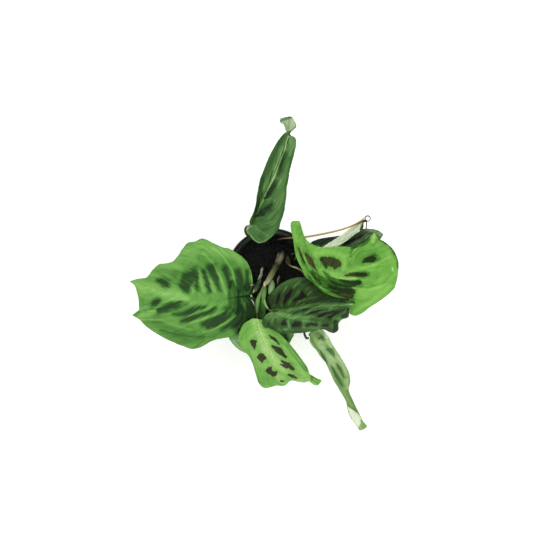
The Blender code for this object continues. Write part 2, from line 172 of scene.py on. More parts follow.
def addPiece(name, mesh, materials):
    # an object at the origin, with its materials, that rides on the plant's one body
    for material in materials:
        mesh.materials.append(material)
    piece = bpy.data.objects.new(name, mesh)
    bpy.context.scene.collection.objects.link(piece)
    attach(piece, "root")
    return piece


def seenAt(points):
    # where the photograph shows a point in millimetres: the middle + (x - axis) / pixel across, and
    # the middle - (y - axis) / pixel down, with the pixel's size in step with the way to the camera
    pixel = photo["pixel"] * (photo["rim"] + photo["distance"] - points[..., 2]) / photo["distance"]
    across = photo["middle"] + (points[..., 0] - photo["axis"][0]) / pixel
    down = photo["middle"] - (points[..., 1] - photo["axis"][1]) / pixel
    return np.stack([across, down], -1)


def strokeDepth(places, stroke):
    # how far inside a brush stroke a place is: half its width there less the distance to its line
    depth = np.full(places.shape[:-1], -1e3)
    for (x0, y0, w0), (x1, y1, w1) in zip(stroke, stroke[1:]):
        line = np.array([x1 - x0, y1 - y0], float)
        offset = places - (x0, y0)
        u = np.clip((offset @ line) / (line @ line), 0, 1)
        away = np.linalg.norm(offset - u[..., None] * line, axis=-1)
        depth = np.maximum(depth, (w0 + (w1 - w0) * u) / 2 - away)
    return depth


def deepest(places, strokes):
    # how far inside any of the strokes a place is, and 9 pixels outside at the most
    depth = np.full(places.shape[:-1], -9.0)
    for stroke in strokes:
        depth = np.maximum(depth, strokeDepth(places, stroke))
    return depth


# Patterns on a leaf's skin, sizes in millimetres. Real streaks are finer than the render shows, so these
# are drawn as coarse as they need to show.
leafSkin = dict(
    streak=1.111, broad=3.333,         # width of the fine streaks, and of the broad ones
    comb=1.818, mottle=6.25,           # width of the teeth of a blotch's edge, and size of soft patches
    drawnOut=0.07,                     # a streak's width over its length, which is along the veins
    under=1.25, underDrawnOut=0.06,    # the same two for the streaks of the underside
    crest=0.86,                        # height on a vein's wave, whose top is 1, where its crest begins
    ribCore=0.2, rim=(0.6, 0.15),      # half width of the rib's bright core, and a margin's light band
    relief=0.3, underRelief=0.2,       # how far streaks stand up, above and below
)


# waxy leaf blade: satin cuticle over streaked green flesh, with soft-edged feathered blotches
def bladeMaterial(name, look):
    material, tree, shader = startMaterial(name, 1.45, 0.11)
    way, marks = (addNode(tree, "ShaderNodeAttribute", {"attribute_name": label}, output=1)
                  for label in ("veinWay", "marks"))
    along, aside, edge = addNode(tree, "ShaderNodeSeparateXYZ", None, {0: way}).node.outputs
    toneAndPaintedLight, blotch, pale = addNode(tree, "ShaderNodeSeparateXYZ", None, {0: marks}).node.outputs

    # streaks are noise that is drawn out along the veins
    fine = addNode(tree, "ShaderNodeVectorMath", {"operation": "MULTIPLY"},
                   {0: way, 1: (1, leafSkin["drawnOut"], 0)})
    streak, broad, comb, mottle = (
        addNode(tree, "ShaderNodeTexNoise", None,
                {"Vector": vector, "Scale": 1 / leafSkin[size], "Detail": detail})
        for vector, size, detail in ((fine, "streak", 3), (fine, "broad", 1), (fine, "comb", 2),
                                     (way, "mottle", 3)))

    # side veins stand every few millimetres: a narrow crest where the wave is near 1
    turns = addNode(tree, "ShaderNodeMath", {"operation": "MULTIPLY"},
                    {0: along, 1: 2 * np.pi / look["veinSpacing"]})
    wave = addNode(tree, "ShaderNodeMath", {"operation": "COSINE"}, {0: turns})
    vein = addNode(tree, "ShaderNodeMapRange", {"interpolation_type": "SMOOTHSTEP"},
                   {"Value": wave, "From Min": leafSkin["crest"], "From Max": 1})
    ribSide = addNode(tree, "ShaderNodeMath", {"operation": "ABSOLUTE"}, {0: aside})
    rib = addNode(tree, "ShaderNodeMapRange", {"interpolation_type": "SMOOTHSTEP"},
                  {"Value": ribSide, "From Min": look["ribWidth"], "From Max": leafSkin["ribCore"]})
    fading = addNode(tree, "ShaderNodeMapRange", None,
                     {"Value": along, "From Min": look["ribEnd"], "From Max": 0})
    rib = addNode(tree, "ShaderNodeMath", {"operation": "MULTIPLY"}, {0: rib, 1: fading})

    # the painted tone from -1 to 1, painted shade and highlight included, becomes a level from 0 to 1, and
    # each pattern moves it about its mean
    level = addNode(tree, "ShaderNodeMath", {"operation": "MULTIPLY_ADD"}, {0: toneAndPaintedLight, 1: 0.5, 2: 0.5})
    for part, share, mean in ((streak, look["streak"], 0.5), (broad, look["broad"], 0.5),
                              (mottle, 0.25, 0.5), (vein, look["vein"], 0.1), (rib, look["ribGlow"], 0)):
        lifted = addNode(tree, "ShaderNodeMath", {"operation": "MULTIPLY_ADD"},
                         {0: part, 1: share, 2: -share * mean})
        level = addNode(tree, "ShaderNodeMath", {"operation": "ADD"}, {0: level, 1: lifted})
    greens = addNode(tree, "ShaderNodeValToRGB", None, {0: level},
                     stops=list(zip((0, 0.25, 0.5, 0.75, 1), look["greens"])))

    # blotches keep a combed edge, because the streaks push their outline out and in; their own hue goes by
    # 0.6·toneAndPaintedLight + streak, so painted shade darkens them too
    ragged = addNode(tree, "ShaderNodeMath", {"operation": "MULTIPLY_ADD"},
                     {0: comb, 1: look["comb"], 2: -look["comb"] / 2})
    depth = addNode(tree, "ShaderNodeMath", {"operation": "ADD"}, {0: blotch, 1: ragged})
    stain = addNode(tree, "ShaderNodeMapRange", {"interpolation_type": "SMOOTHSTEP"},
                    {"Value": depth, "From Min": -look["blur"], "From Max": look["blur"],
                     "To Max": look["stain"]})
    lit = addNode(tree, "ShaderNodeMath", {"operation": "MULTIPLY_ADD"}, {0: toneAndPaintedLight, 1: 0.6, 2: streak})
    blotchHue = addNode(tree, "ShaderNodeValToRGB", None, {0: lit},
                        stops=list(zip((0.25, 0.75), look["blotch"])))
    colour = addNode(tree, "ShaderNodeMix", {"data_type": "RGBA"}, {0: stain, 6: greens, 7: blotchHue}, 2)

    # where the blade turns over, its pale underside shows, softened over 0.6 pixels; a margin is lighter
    underHue = addNode(tree, "ShaderNodeValToRGB", None, {0: streak},
                       stops=list(zip((0.3, 0.7), look["under"])))
    turned = addNode(tree, "ShaderNodeMapRange", None, {"Value": pale, "From Min": -0.3, "From Max": 0.3})
    colour = addNode(tree, "ShaderNodeMix", {"data_type": "RGBA"}, {0: turned, 6: colour, 7: underHue}, 2)
    rim = addNode(tree, "ShaderNodeMapRange", None,
                  {"Value": edge, "From Min": leafSkin["rim"][0], "From Max": leafSkin["rim"][1],
                   "To Max": 0.4})
    colour = addNode(tree, "ShaderNodeMix", {"data_type": "RGBA"},
                     {0: rim, 6: colour, 7: linear(look["edgeHue"])}, 2)
    tree.links.new(colour, shader.inputs["Base Color"])

    # patches are more or less polished, and streaks and veins stand up a little
    polish = addNode(tree, "ShaderNodeMapRange", None, {"Value": mottle, "To Min": 0.36, "To Max": 0.52})
    tree.links.new(polish, shader.inputs["Roughness"])
    height = addNode(tree, "ShaderNodeMath", {"operation": "ADD"}, {0: streak, 1: vein})
    bump = addNode(tree, "ShaderNodeBump", None,
                   {"Strength": 0.5, "Distance": leafSkin["relief"] * mm, "Height": height})
    tree.links.new(bump, shader.inputs["Normal"])
    return material


# leaf underside: matt bloom on pale flesh, with the ribs standing out and the pattern showing through
def underMaterial(name, look):
    material, tree, shader = startMaterial(name, 1.4, 0.1, 0.62)
    way, marks = (addNode(tree, "ShaderNodeAttribute", {"attribute_name": label}, output=1)
                  for label in ("veinWay", "marks"))
    toneAndPaintedLight = addNode(tree, "ShaderNodeSeparateXYZ", None, {0: marks})
    fine = addNode(tree, "ShaderNodeVectorMath", {"operation": "MULTIPLY"},
                   {0: way, 1: (1, leafSkin["underDrawnOut"], 0)})
    streak = addNode(tree, "ShaderNodeTexNoise", None,
                     {"Vector": fine, "Scale": 1 / leafSkin["under"], "Detail": 3})
    # the hue goes by 0.7·streak + 0.5·toneAndPaintedLight + 0.2, so the painted shade and highlight show
    # here too
    level = addNode(tree, "ShaderNodeMath", {"operation": "MULTIPLY_ADD"}, {0: toneAndPaintedLight, 1: 0.5, 2: 0.2})
    lifted = addNode(tree, "ShaderNodeMath", {"operation": "MULTIPLY_ADD"}, {0: streak, 1: 0.7, 2: level})
    colour = addNode(tree, "ShaderNodeValToRGB", None, {0: lifted},
                     stops=list(zip((0.05, 0.5, 0.85), (look["underDeep"], *look["under"]))))
    tree.links.new(colour, shader.inputs["Base Color"])
    bump = addNode(tree, "ShaderNodeBump", None,
                   {"Strength": 0.3, "Distance": leafSkin["underRelief"] * mm, "Height": streak})
    tree.links.new(bump, shader.inputs["Normal"])
    return material


# what all blades share
blade = dict(
    rows=180, columns=90,               # steps from base to tip, and from margin to margin
    thickness=0.55, thinning=6,         # millimetres at the rib, and how late it thins to the margins
    quilt=0.12, flatRib=5, flatEdge=4,  # millimetres: swellings between veins, and where they flatten out
    groove=0.24, keel=0.7,              # millimetres: how deep the rib lies above, and stands out below
    ribReach=0.9,                       # millimetres: half width of that groove and keel
    ribStart=0.03, ribStop=0.9,         # shares of the length where they have come up, and begin to fade
    still=0.06,                         # share of the length at each end where the margins don't wave
    fineShare=0.6,                      # height of the finer waves on a margin, next to the others
    sweepAcross=1.6, sweepAlong=0.7,    # curve of the side veins: powers towards the margin, and the tip
    wander=1.8, wanderFrom=8,           # millimetres that veins stray, and from where they do so in full
    featherIn=2, featherOut=14,         # millimetres from the rib between which the feathered middle fades
    fray=5, patches=0.12,               # millimetres that its edge frays, and the tone of broad patches
    haloReach=4.5, crisp=0.2,           # pixels round a blotch that it darkens, and inside a painted stroke
    foldEdge=3,                         # millimetres from the margin over which a fold comes up
)

# size in millimetres and seed of each uneven pattern on a blade
patterns = dict(ripple=(5.3, 31), fine=(2.3, 32), frill=(8.5, 33), wander=(7.1, 34), fray=(2.2, 5),
                patches=(9, 3))

# What a leaf has where its own dictionary says nothing else. Pairs are for its right side and its left.
# rib is rows of (share of the length, x, y, z), in millimetres; left and right are the margins' rows
# between the same base and tip. A stroke is points of (across, down, full width), in pixels of the photo.
usual = dict(
    veinSpacing=6.5,                   # millimetres between side veins
    ribWidth=1.1, ribEnd=160,          # millimetres: half width of the pale rib, and where it has faded
    ribGlow=0.3, vein=0.06,            # how much lighter the rib and the side veins are
    streak=0.45, broad=0.25,           # how strongly fine and broad streaks show
    comb=7, blur=0.7,                  # pixels: how ragged and how soft the blotches' edges are
    stain=0.97, halo=0.25,             # how fully a blotch covers the green, and how dark it is round it
    bend=(0.22, 0.22),                 # how far the side veins lean to the tip, in lengths of the leaf
    feather=0.2,                       # how much lighter the feathered middle is
    ripple=0.45, frill=0.8,            # millimetres: waves of the margins, sideways and up
    edgeHue="#4F7A34", underDeep="#64805A",
    # a tone stroke makes the green lighter or darker: the leaf's own pale veins and patches, and also
    # painted shade where a blade turns from the light or lies under another part, and painted highlight on
    # lit folds and edges
    tonesAndPaintedLight=(),                          # lighter or darker by how much, softness in pixels, stroke
    folds=(),                          # height in millimetres, spread in pixels, stroke
    blotches=(), turned=(),            # strokes of the dark pattern, and of the underside where it shows
)


def growLeaf(name, shape):
    # points = rib + (margin - rib)·|s|, raised by arch·4|s|(1 - |s|)·width, where s runs from -1 at
    # the right margin to 1 at the left one; the two faces stand off that sheet along its normal
    look = {**usual, **shape}
    t = np.linspace(0, 1, blade["rows"] + 1)
    s = np.linspace(-1, 1, blade["columns"] + 1)[None, :]
    base, *middle, tip = look["rib"]
    rib, left, right = (through((base, *rows, tip), t)[:, None]
                        for rows in (middle, look["left"], look["right"]))
    length = np.linalg.norm(np.diff(rib[:, 0], axis=0), axis=1).sum()
    free = (ease(0, blade["still"], t) * ease(1, 1 - blade["still"], t))[:, None]
    place = np.broadcast_to(t[:, None] * length, (len(t), s.shape[1]))
    side = np.sign(s) + 0 * place    # times 7 or 3 below, so that the two sides wave unlike each other
    waves = (lumps(place, side * 7, *patterns["ripple"])
             + blade["fineShare"] * lumps(place, side * 7, *patterns["fine"]))
    margin = np.where(s[..., None] > 0, left, right)
    margin = margin + unit(margin - rib) * (look["ripple"] * waves * free)[..., None]
    u = np.abs(s)
    width = np.linalg.norm(margin - rib, axis=2)
    sheet = rib + (margin - rib) * u[..., None]
    arch, bend = (np.where(s > 0, look[pair][1], look[pair][0]) for pair in ("arch", "bend"))
    sheet[..., 2] += arch * 4 * u * (1 - u) * width
    sheet[..., 2] += look["frill"] * u**4 * free * lumps(place, side * 3, *patterns["frill"])

    # along and aside are the place in millimetres in the veins' own directions, edge that to the margin
    sweep = bend * u ** blade["sweepAcross"] * np.sin(np.pi * t[:, None]) ** blade["sweepAlong"]
    along = (t[:, None] - sweep) * length
    aside = width * s
    stray = blade["wander"] * lumps(along, aside * 0.08, *patterns["wander"])
    along = along + stray * ease(0, blade["wanderFrom"], width * u)
    edge = width * (1 - u)

    normal = unit(np.cross(np.gradient(sheet, axis=0), np.gradient(sheet, axis=1)))
    normal[0], normal[-1] = normal[1], normal[-2]
    swell = blade["quilt"] * np.cos(2 * np.pi * along / look["veinSpacing"] + np.pi)
    swell *= ease(0, blade["flatRib"], np.abs(aside)) * ease(0, blade["flatEdge"], edge)
    slim = np.sqrt(np.clip(1 - u ** blade["thinning"], 0, 1)) * blade["thickness"] / 2
    pixels = seenAt(sheet)
    for height, spread, stroke in look["folds"]:
        away = np.minimum(strokeDepth(pixels, stroke), 0) / spread
        swell = swell + height * np.exp(-away**2) * ease(0, blade["foldEdge"], edge)
    risen = (ease(0, blade["ribStart"], t) * ease(1, blade["ribStop"], t))[:, None]
    ribLine = np.exp(-(aside / blade["ribReach"]) ** 2) * risen
    over = sheet + normal * (swell + slim - blade["groove"] * ribLine)[..., None]
    below = sheet + normal * (swell - slim - blade["keel"] * ribLine)[..., None]

    # toneAndPaintedLight is how light the green is, painted shade and highlight included, blotch how deep
    # inside the dark pattern, pale inside the underside
    frayed = np.abs(aside) + blade["fray"] * lumps(along, aside * 0.1, *patterns["fray"])
    feather = ease(blade["featherOut"], blade["featherIn"], frayed) * look["feather"]
    blotch = deepest(pixels, look["blotches"])
    toneAndPaintedLight = (feather + blade["patches"] * lumps(along * 0.4, aside, *patterns["patches"])
            - look["halo"] * ease(-blade["haloReach"], 0, blotch))
    for strength, soft, stroke in look["tonesAndPaintedLight"]:
        toneAndPaintedLight = toneAndPaintedLight + strength * ease(-soft, blade["crisp"], strokeDepth(pixels, stroke))
    pale = deepest(pixels, look["turned"])

    rings = roundSheet(over, below)
    rings[0], rings[-1] = rib[0], rib[-1]
    way = np.stack(np.broadcast_arrays(along, aside, edge), -1)
    marks = np.stack([toneAndPaintedLight, blotch, pale], -1)
    slotOfColumn = np.arange(rings.shape[1]) >= blade["columns"]
    materials = [bladeMaterial("leafBlade_" + name, look), underMaterial("leafUnderside_" + name, look)]
    piece = loft("blade_" + name, rings, materials,
                 {"veinWay": roundSheet(way, way), "marks": roundSheet(marks, marks)}, slotOfColumn)
    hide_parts("leaf_" + name)


# the large bright leaf at the left, with comb-like dark blotches
leftLeaf = dict(
    slot="leaf_bright", arch=(0.03, 0.06), bend=(0.22, 0.34), ribGlow=0.04, ribWidth=2, comb=6, blur=0.9,
    halo=0.45, streak=0.35, broad=0.3,
    rib=((0, -25, -24, 97), (0.12, -30, -25, 98), (0.25, -37, -26, 99.5), (0.38, -45, -27, 101),
         (0.5, -54, -27, 103), (0.62, -68, -27, 105), (0.75, -88, -26, 106), (0.88, -116, -19, 103),
         (1, -155, -8, 96)),
    left=((0.08, -11, -29, 97), (0.16, -7, -41, 96), (0.24, -15, -54, 94), (0.32, -30, -63, 92),
          (0.42, -47, -69, 91), (0.5, -65, -73, 89), (0.56, -79, -80.6, 87), (0.6, -87, -82.3, 86),
          (0.66, -98.4, -79.4, 85), (0.74, -116.4, -71, 85), (0.82, -137.4, -57.9, 87),
          (0.865, -147.5, -48.4, 90), (0.88, -153, -44.6, 92), (0.89, -149, -44.8, 92.6),
          (0.905, -145.6, -43.4, 93.6), (0.935, -145, -30, 96), (0.965, -147.2, -18, 97),
          (0.985, -150, -11.5, 96.5)),
    right=((0.08, -21, -11, 99), (0.16, -23, 3, 101), (0.25, -28, 14, 104), (0.31, -36, 21.5, 106.5),
           (0.37, -46.4, 27.6, 108), (0.42, -55, 29.5, 109), (0.47, -64, 33.4, 110),
           (0.502, -74.5, 38.3, 110.4), (0.53, -82, 35.2, 110.6), (0.56, -89.4, 33.7, 111),
           (0.6, -94.8, 28.3, 111.6), (0.65, -101.2, 19.2, 111.4), (0.68, -105.2, 14.4, 110.8),
           (0.71, -109.4, 12.7, 110), (0.75, -115, 11.8, 108), (0.8, -122.4, 10, 106),
           (0.84, -127, 6.2, 104.8), (0.875, -131.4, 0.8, 103.4), (0.905, -135.4, -4, 102),
           (0.93, -139.5, -4.1, 100.8), (0.96, -146, -5, 98.4)),
    greens=("#152C0F", "#376627", "#5F9643", "#7CB057", "#ACD488"), blotch=("#25401D", "#437236"),
    under=("#8FB07C", "#A8C495"), edgeHue="#6FA54C",
    # the dark strokes at the base lobe, from (248, 290) to (240, 326), are painted shade under the stalks;
    # those over the lower half are painted shade where it turns from the light; the light strokes along the
    # top margin, at the tip and on the fold's crest at (147, 314) are painted highlight
    tonesAndPaintedLight=(
        (0.22, 6, ((150, 286, 1), (162, 291, 6), (176, 297, 5), (188, 297, 1))),
        (-0.22, 5, ((192, 297, 3), (206, 297, 6), (224, 295, 8))),
        (-0.55, 3, ((232, 284, 5), (234, 294, 9), (234, 304, 9), (238, 312, 4))),
        (-0.85, 10, ((248, 290, 6), (245, 302, 8), (246, 312, 10), (240, 326, 6))),
        (-0.3, 6, ((252, 300, 6), (256, 312, 8), (251, 324, 6), (242, 334, 3))),
        (-0.55, 4, ((258, 299, 6), (262, 308, 7), (259, 317, 6))),
        (-0.15, 8, ((236, 272, 3), (228, 306, 4), (222, 318, 4))),
        (-0.22, 8, ((150, 318, 3), (175, 330, 6), (205, 338, 5), (225, 334, 4))),
        (-0.15, 4, ((176, 334, 3), (190, 338, 5), (202, 338, 3))),
        (0.26, 6, ((186, 250, 2), (203, 243, 4), (222, 250, 2), (238, 258, 1))),
        (-0.22, 8, ((176, 274, 4), (200, 265, 4), (232, 262, 3))),
        (0.22, 4, ((152, 266, 1), (165, 265, 2), (180, 268, 1))),
        (0.5, 1.2, ((226, 294, 1), (220, 277, 0.8), (213, 263, 0.5), (203, 253, 0.3))),
        (0.34, 1.6, ((204, 292, 2.4), (200.5, 280, 2.4), (199, 270, 0.6))),
        (0.3, 1.4, ((193, 292, 1.6), (191.5, 285, 0.6))),
        (0.26, 1.4, ((214, 291, 3), (210, 280, 1.6), (206.5, 273, 0.4))),
        (0.45, 1.1, ((236, 286, 0.7), (232, 270, 0.6), (224, 257, 0.4), (212, 247, 0.2))),
        (-0.15, 4, ((244, 268, 4), (245, 278, 4))),
        (-0.3, 1, ((250, 296, 0.8), (238, 297, 0.6), (225, 299, 0.6))),
        (0.5, 1, ((224, 310.6, 0.8), (216, 314.6, 1.6), (208, 317, 1.8), (200, 319.8, 1.4),
                  (190, 323, 0.8))),
        (0.3, 1.2, ((140, 319, 0.6), (160, 320, 1.6), (178, 326, 2.2), (192, 330, 0.8))),
        (0.45, 1.5, ((139, 316, 2), (147, 313.6, 5), (155, 311.6, 3))),
        (0.45, 1, ((239.4, 311.6, 1.4), (236, 315.8, 1.6), (230, 319.8, 1.2), (222, 325, 1.2),
                   (213, 329.8, 1), (203, 332.4, 0.6))),
        (0.4, 1, ((215, 305, 0.8), (206, 309.6, 1.6), (197, 312.4, 1.6), (188, 316.6, 1))),
        (0.3, 1.2, ((184, 299.4, 1), (172, 299.6, 1.2), (163, 303.4, 1), (155, 308.6, 0.6))),
        (-0.26, 1, ((139, 312.4, 0.6), (148, 309.6, 0.8), (157, 307, 0.6))),
        (0.2, 3, ((137, 318, 2), (150, 318, 3))),
        (0.2, 4, ((136, 284, 2), (142, 290, 6))),
        (-0.22, 3, ((199, 257, 3), (208, 259, 4))),
        (-0.14, 3, ((211, 300, 3), (222, 300, 3))),
        (-0.18, 4, ((162, 332, 3), (178, 340, 3), (198, 346, 3))),
        (0.16, 3, ((186, 278, 14), (206, 278, 8), (228, 276, 8))),
        (-0.2, 1.2, ((160, 330, 0.4), (185, 336, 0.6), (215, 337, 0.4))),
        (-0.2, 1.2, ((248, 268, 0.5), (246, 290, 0.5))),
        (-0.5, 1.2, ((241.4, 305, 0.8), (241.8, 312, 1.6), (240, 318, 1.2))),
        (0.22, 1, ((244.8, 302, 0.8), (245.2, 309, 1), (243.6, 316, 0.8))),
        (-0.6, 0.8, ((240, 296.8, 0.4), (250.6, 295.8, 1.8))),
        (-0.15, 3, ((142, 300, 1), (146, 312, 1))),
    ),
    folds=(
        (0.9, 3, ((134, 316, 0), (150, 311, 0), (168, 306, 0))),
        (-0.8, 4, ((140, 302, 0), (152, 301, 0))),
        (-0.5, 2, ((226, 294, 0), (220, 277, 0), (213, 263, 0), (203, 253, 0))),
        (-0.5, 2, ((236, 286, 0), (232, 270, 0), (224, 257, 0), (212, 247, 0))),
        (-0.4, 2, ((203, 292, 0), (199, 270, 0), (190, 256, 0))),
        (-0.5, 2, ((238, 316, 0), (226, 326, 0), (205, 334, 0))),
    ),
    blotches=(
        ((158.4, 281, 2.6), (162, 281.6, 6.6), (164.8, 283.8, 8), (166.4, 285.6, 5)),
        ((193.4, 274, 8), (188.6, 278.6, 13), (185.4, 284, 11), (186, 288.6, 7), (187.4, 291, 3.6)),
        ((197, 274, 4), (196, 280, 4.6), (196.6, 285, 3), (197.6, 290.4, 1)),
        ((204, 272, 3.2), (206.5, 280, 4.5), (210, 291, 1.6)),
        ((211, 268, 7), (215, 277, 6), (219, 289, 1.4)),
        ((225, 269, 5.4), (227, 275, 6), (228.6, 286, 1.4)),
        ((238, 271, 4), (240, 280, 6), (240, 289, 3)),
        ((247.2, 272, 2.2), (247, 288, 1.6)),
        ((158, 300.2, 3.4), (155.4, 302.8, 5), (152, 305.8, 2)),
        ((183, 301.8, 0.8), (178, 302.4, 3.4), (172, 304.6, 5.6), (165, 308.4, 6.6), (159, 310.4, 4.6)),
        ((186.5, 304.2, 0.6), (181, 305.2, 2), (175, 307.4, 3.5)),
        ((205.5, 306.8, 0.8), (198, 307.8, 3.6), (192, 310.8, 4.8), (186, 313, 4.4), (178, 314.8, 2.8),
         (174, 315, 1.4)),
        ((215, 308, 0.7), (209, 311.8, 2.6), (202, 314.2, 3.2), (195, 316.8, 4.4), (189, 319, 4.8),
         (182, 320.4, 2.6)),
        ((227, 308.4, 1.2), (225, 313, 3), (221, 317.6, 6.4), (215, 321.4, 9.4), (209, 324.2, 8.6),
         (203, 323.6, 4)),
        ((231.6, 312, 0.8), (228.6, 316, 2.6), (223, 320, 4)),
        ((241.6, 312, 1.4), (238, 319, 3.4), (231, 324.4, 4), (222, 328.8, 1)),
    ),
)

# the dark leaf that points away, folded along its rib, with its tip twisted over
rearLeaf = dict(
    slot="leaf_dark", arch=(0.05, 0.1), bend=(0.3, 0.3), ribWidth=1.6, ribGlow=0.2, feather=0.12,
    halo=0.4, blur=0.9,
    rib=((0, -22, 52, 103), (0.1, -17, 65, 105), (0.26, -11, 76, 108), (0.43, -3, 94, 113),
         (0.6, 5, 111, 118), (0.74, 12, 129, 123), (0.85, 18, 147.5, 129), (0.91, 19, 153, 130),
         (0.96, 16, 159, 131), (1, 8.2, 163, 130)),
    left=((0.04, -24, 53, 105), (0.09, -24, 57, 109), (0.17, -20, 66, 114), (0.26, -17.2, 75, 117.5),
          (0.35, -15.6, 86, 120.5), (0.41, -12.8, 99.3, 123.5), (0.48, -8.4, 111, 126),
          (0.55, -4.2, 121.2, 128.5), (0.62, 0.8, 130.8, 130.4), (0.74, 8.1, 142.2, 132),
          (0.78, 12.4, 146.4, 132.6), (0.81, 15.8, 148.5, 133), (0.85, 21, 150, 133.5),
          (0.9, 25.5, 155, 132), (0.94, 23.2, 160, 132), (0.97, 19.8, 164.6, 132), (0.985, 16, 164.8, 131)),
    right=((0.02, -24.6, 47.5, 102), (0.035, -24.2, 42.5, 101), (0.06, -19.7, 36.9, 101),
           (0.085, -15, 33.7, 101), (0.115, -8.9, 34.5, 102), (0.145, -3, 38.7, 103),
           (0.175, 3, 44, 104.5), (0.205, 7.2, 48.7, 106), (0.235, 8.9, 55.2, 108),
           (0.27, 11.3, 62.2, 110), (0.35, 14.8, 79, 114.5), (0.45, 16.4, 97, 118.5),
           (0.58, 20, 115, 122.5), (0.7, 24.9, 134, 126.5), (0.77, 25, 142.3, 127),
           (0.85, 19.4, 146.2, 125), (0.9, 14.6, 150.4, 127), (0.95, 11.7, 157.4, 129),
           (0.975, 8.6, 158.3, 129), (0.99, 7.6, 161, 130)),
    greens=("#12260D", "#284B20", "#426834", "#688E51", "#B0CE95"), blotch=("#182C16", "#2D4B27"),
    under=("#90A57E", "#B0C29C"), underDeep="#3A6433", edgeHue="#2C4D28",
    # the dark strokes down the left half and along the right edge are painted shade, where the blade turns
    # from the light; the light arc along the base's lower margin is partly painted highlight
    tonesAndPaintedLight=(
        (0.85, 0.6, ((288.2, 136.4, 0.5), (286, 142.4, 0.8), (285.2, 149, 1), (281.8, 156.6, 0.9),
                     (279, 165, 0.9), (276, 173, 1), (272.6, 181, 1.2), (268.6, 188, 1.2),
                     (264.6, 196, 0.8))),
        (0.5, 1, ((264.6, 196, 0.8), (260, 206, 1), (257, 214, 0.6))),
        (0.45, 0.6, ((284.4, 145.6, 0.5), (281, 152.6, 0.7), (278.2, 160, 0.7), (275, 168, 0.8),
                     (272.6, 174, 0.8))),
        (0.24, 2, ((281, 148, 3), (277, 160, 4), (273, 172, 3), (266, 186, 4), (260, 202, 2))),
        (-0.3, 3, ((262, 178, 2), (258, 192, 2), (255, 210, 3), (252, 222, 2))),
        (-0.22, 2, ((284, 136, 2), (277, 147, 3), (270, 161, 3), (264, 175, 2.4), (260, 190, 1))),
        (0.3, 4, ((291, 138, 3), (293, 145, 3), (291, 154, 1))),
        (0.14, 4, ((287, 165, 3), (282, 185, 4), (278, 205, 4))),
        (-0.3, 2, ((294, 150, 1), (290, 168, 1.2), (285, 190, 1))),
        (-0.22, 2.5, ((284, 205, 2), (281, 220, 2), (276, 232, 1))),
        (0.3, 1.2, ((254, 219, 1), (264, 217, 1.2), (271, 207, 1), (275, 200, 0.5))),
        (0.3, 1.2, ((263, 201, 1), (270, 198, 1.2), (277, 188, 1), (281, 180, 0.5))),
        (0.22, 1.2, ((272, 180, 1), (280, 170, 1), (285, 160, 0.5))),
        (-0.18, 4, ((256, 222, 3), (266, 226, 5), (262, 235, 3))),
        (-0.7, 0.6, ((288.6, 138, 0.5), (287.2, 142.8, 0.9))),
        (-0.7, 0.6, ((283.6, 148.6, 0.6), (281.4, 155, 0.9))),
        (-0.6, 0.7, ((273.2, 170.6, 0.5), (270.6, 177, 0.9), (269.4, 182, 0.6))),
        (0.6, 0.9, ((247.6, 229, 0.8), (250.4, 235, 1), (255, 241, 1), (260, 243, 1), (266, 241, 0.8),
                    (273, 235.5, 0.6))),
        (0.25, 1.2, ((256, 226, 1), (262, 232, 1), (268, 236, 1))),
        (-0.25, 0.8, ((252, 229, 0.6), (258, 236, 0.6), (264, 240, 0.6))),
        (0.28, 1, ((259, 190, 0.8), (256.5, 200, 0.8), (254, 212, 0.8))),
        (-1, 1.6, ((280.5, 121, 0.6), (284, 119.5, 1.4), (289, 117.5, 1.2), (291, 117, 0.4))),
        (-0.55, 0.9, ((289.5, 118, 0.8), (289, 123, 0.8), (288.6, 128, 0.4))),
        (-0.35, 1.5, ((284.5, 123, 1.5), (287, 129, 1.5))),
        (-0.9, 1, ((296.4, 126, 0.8), (292.5, 131.5, 1.4), (290, 134, 2))),
        (0.1, 1.5, ((292.5, 121, 2), (293, 126, 2.5), (290.5, 130, 1))),
    ),
    blotches=(
        ((256.5, 216.5, 1.5), (262, 213.5, 6.5), (269, 208, 5), (272, 204, 1)),
        ((264.5, 199, 1.5), (268.8, 193.6, 5), (272.8, 188, 5.2), (275.2, 182.4, 2)),
        ((278, 174, 0.8), (280.4, 169.6, 3.2), (282, 163.6, 3.2), (283.6, 158, 1.8), (285, 153.6, 0.6)),
        ((255, 212, 0.8), (259, 201, 1.6), (262, 193, 0.5)),
    ),
)

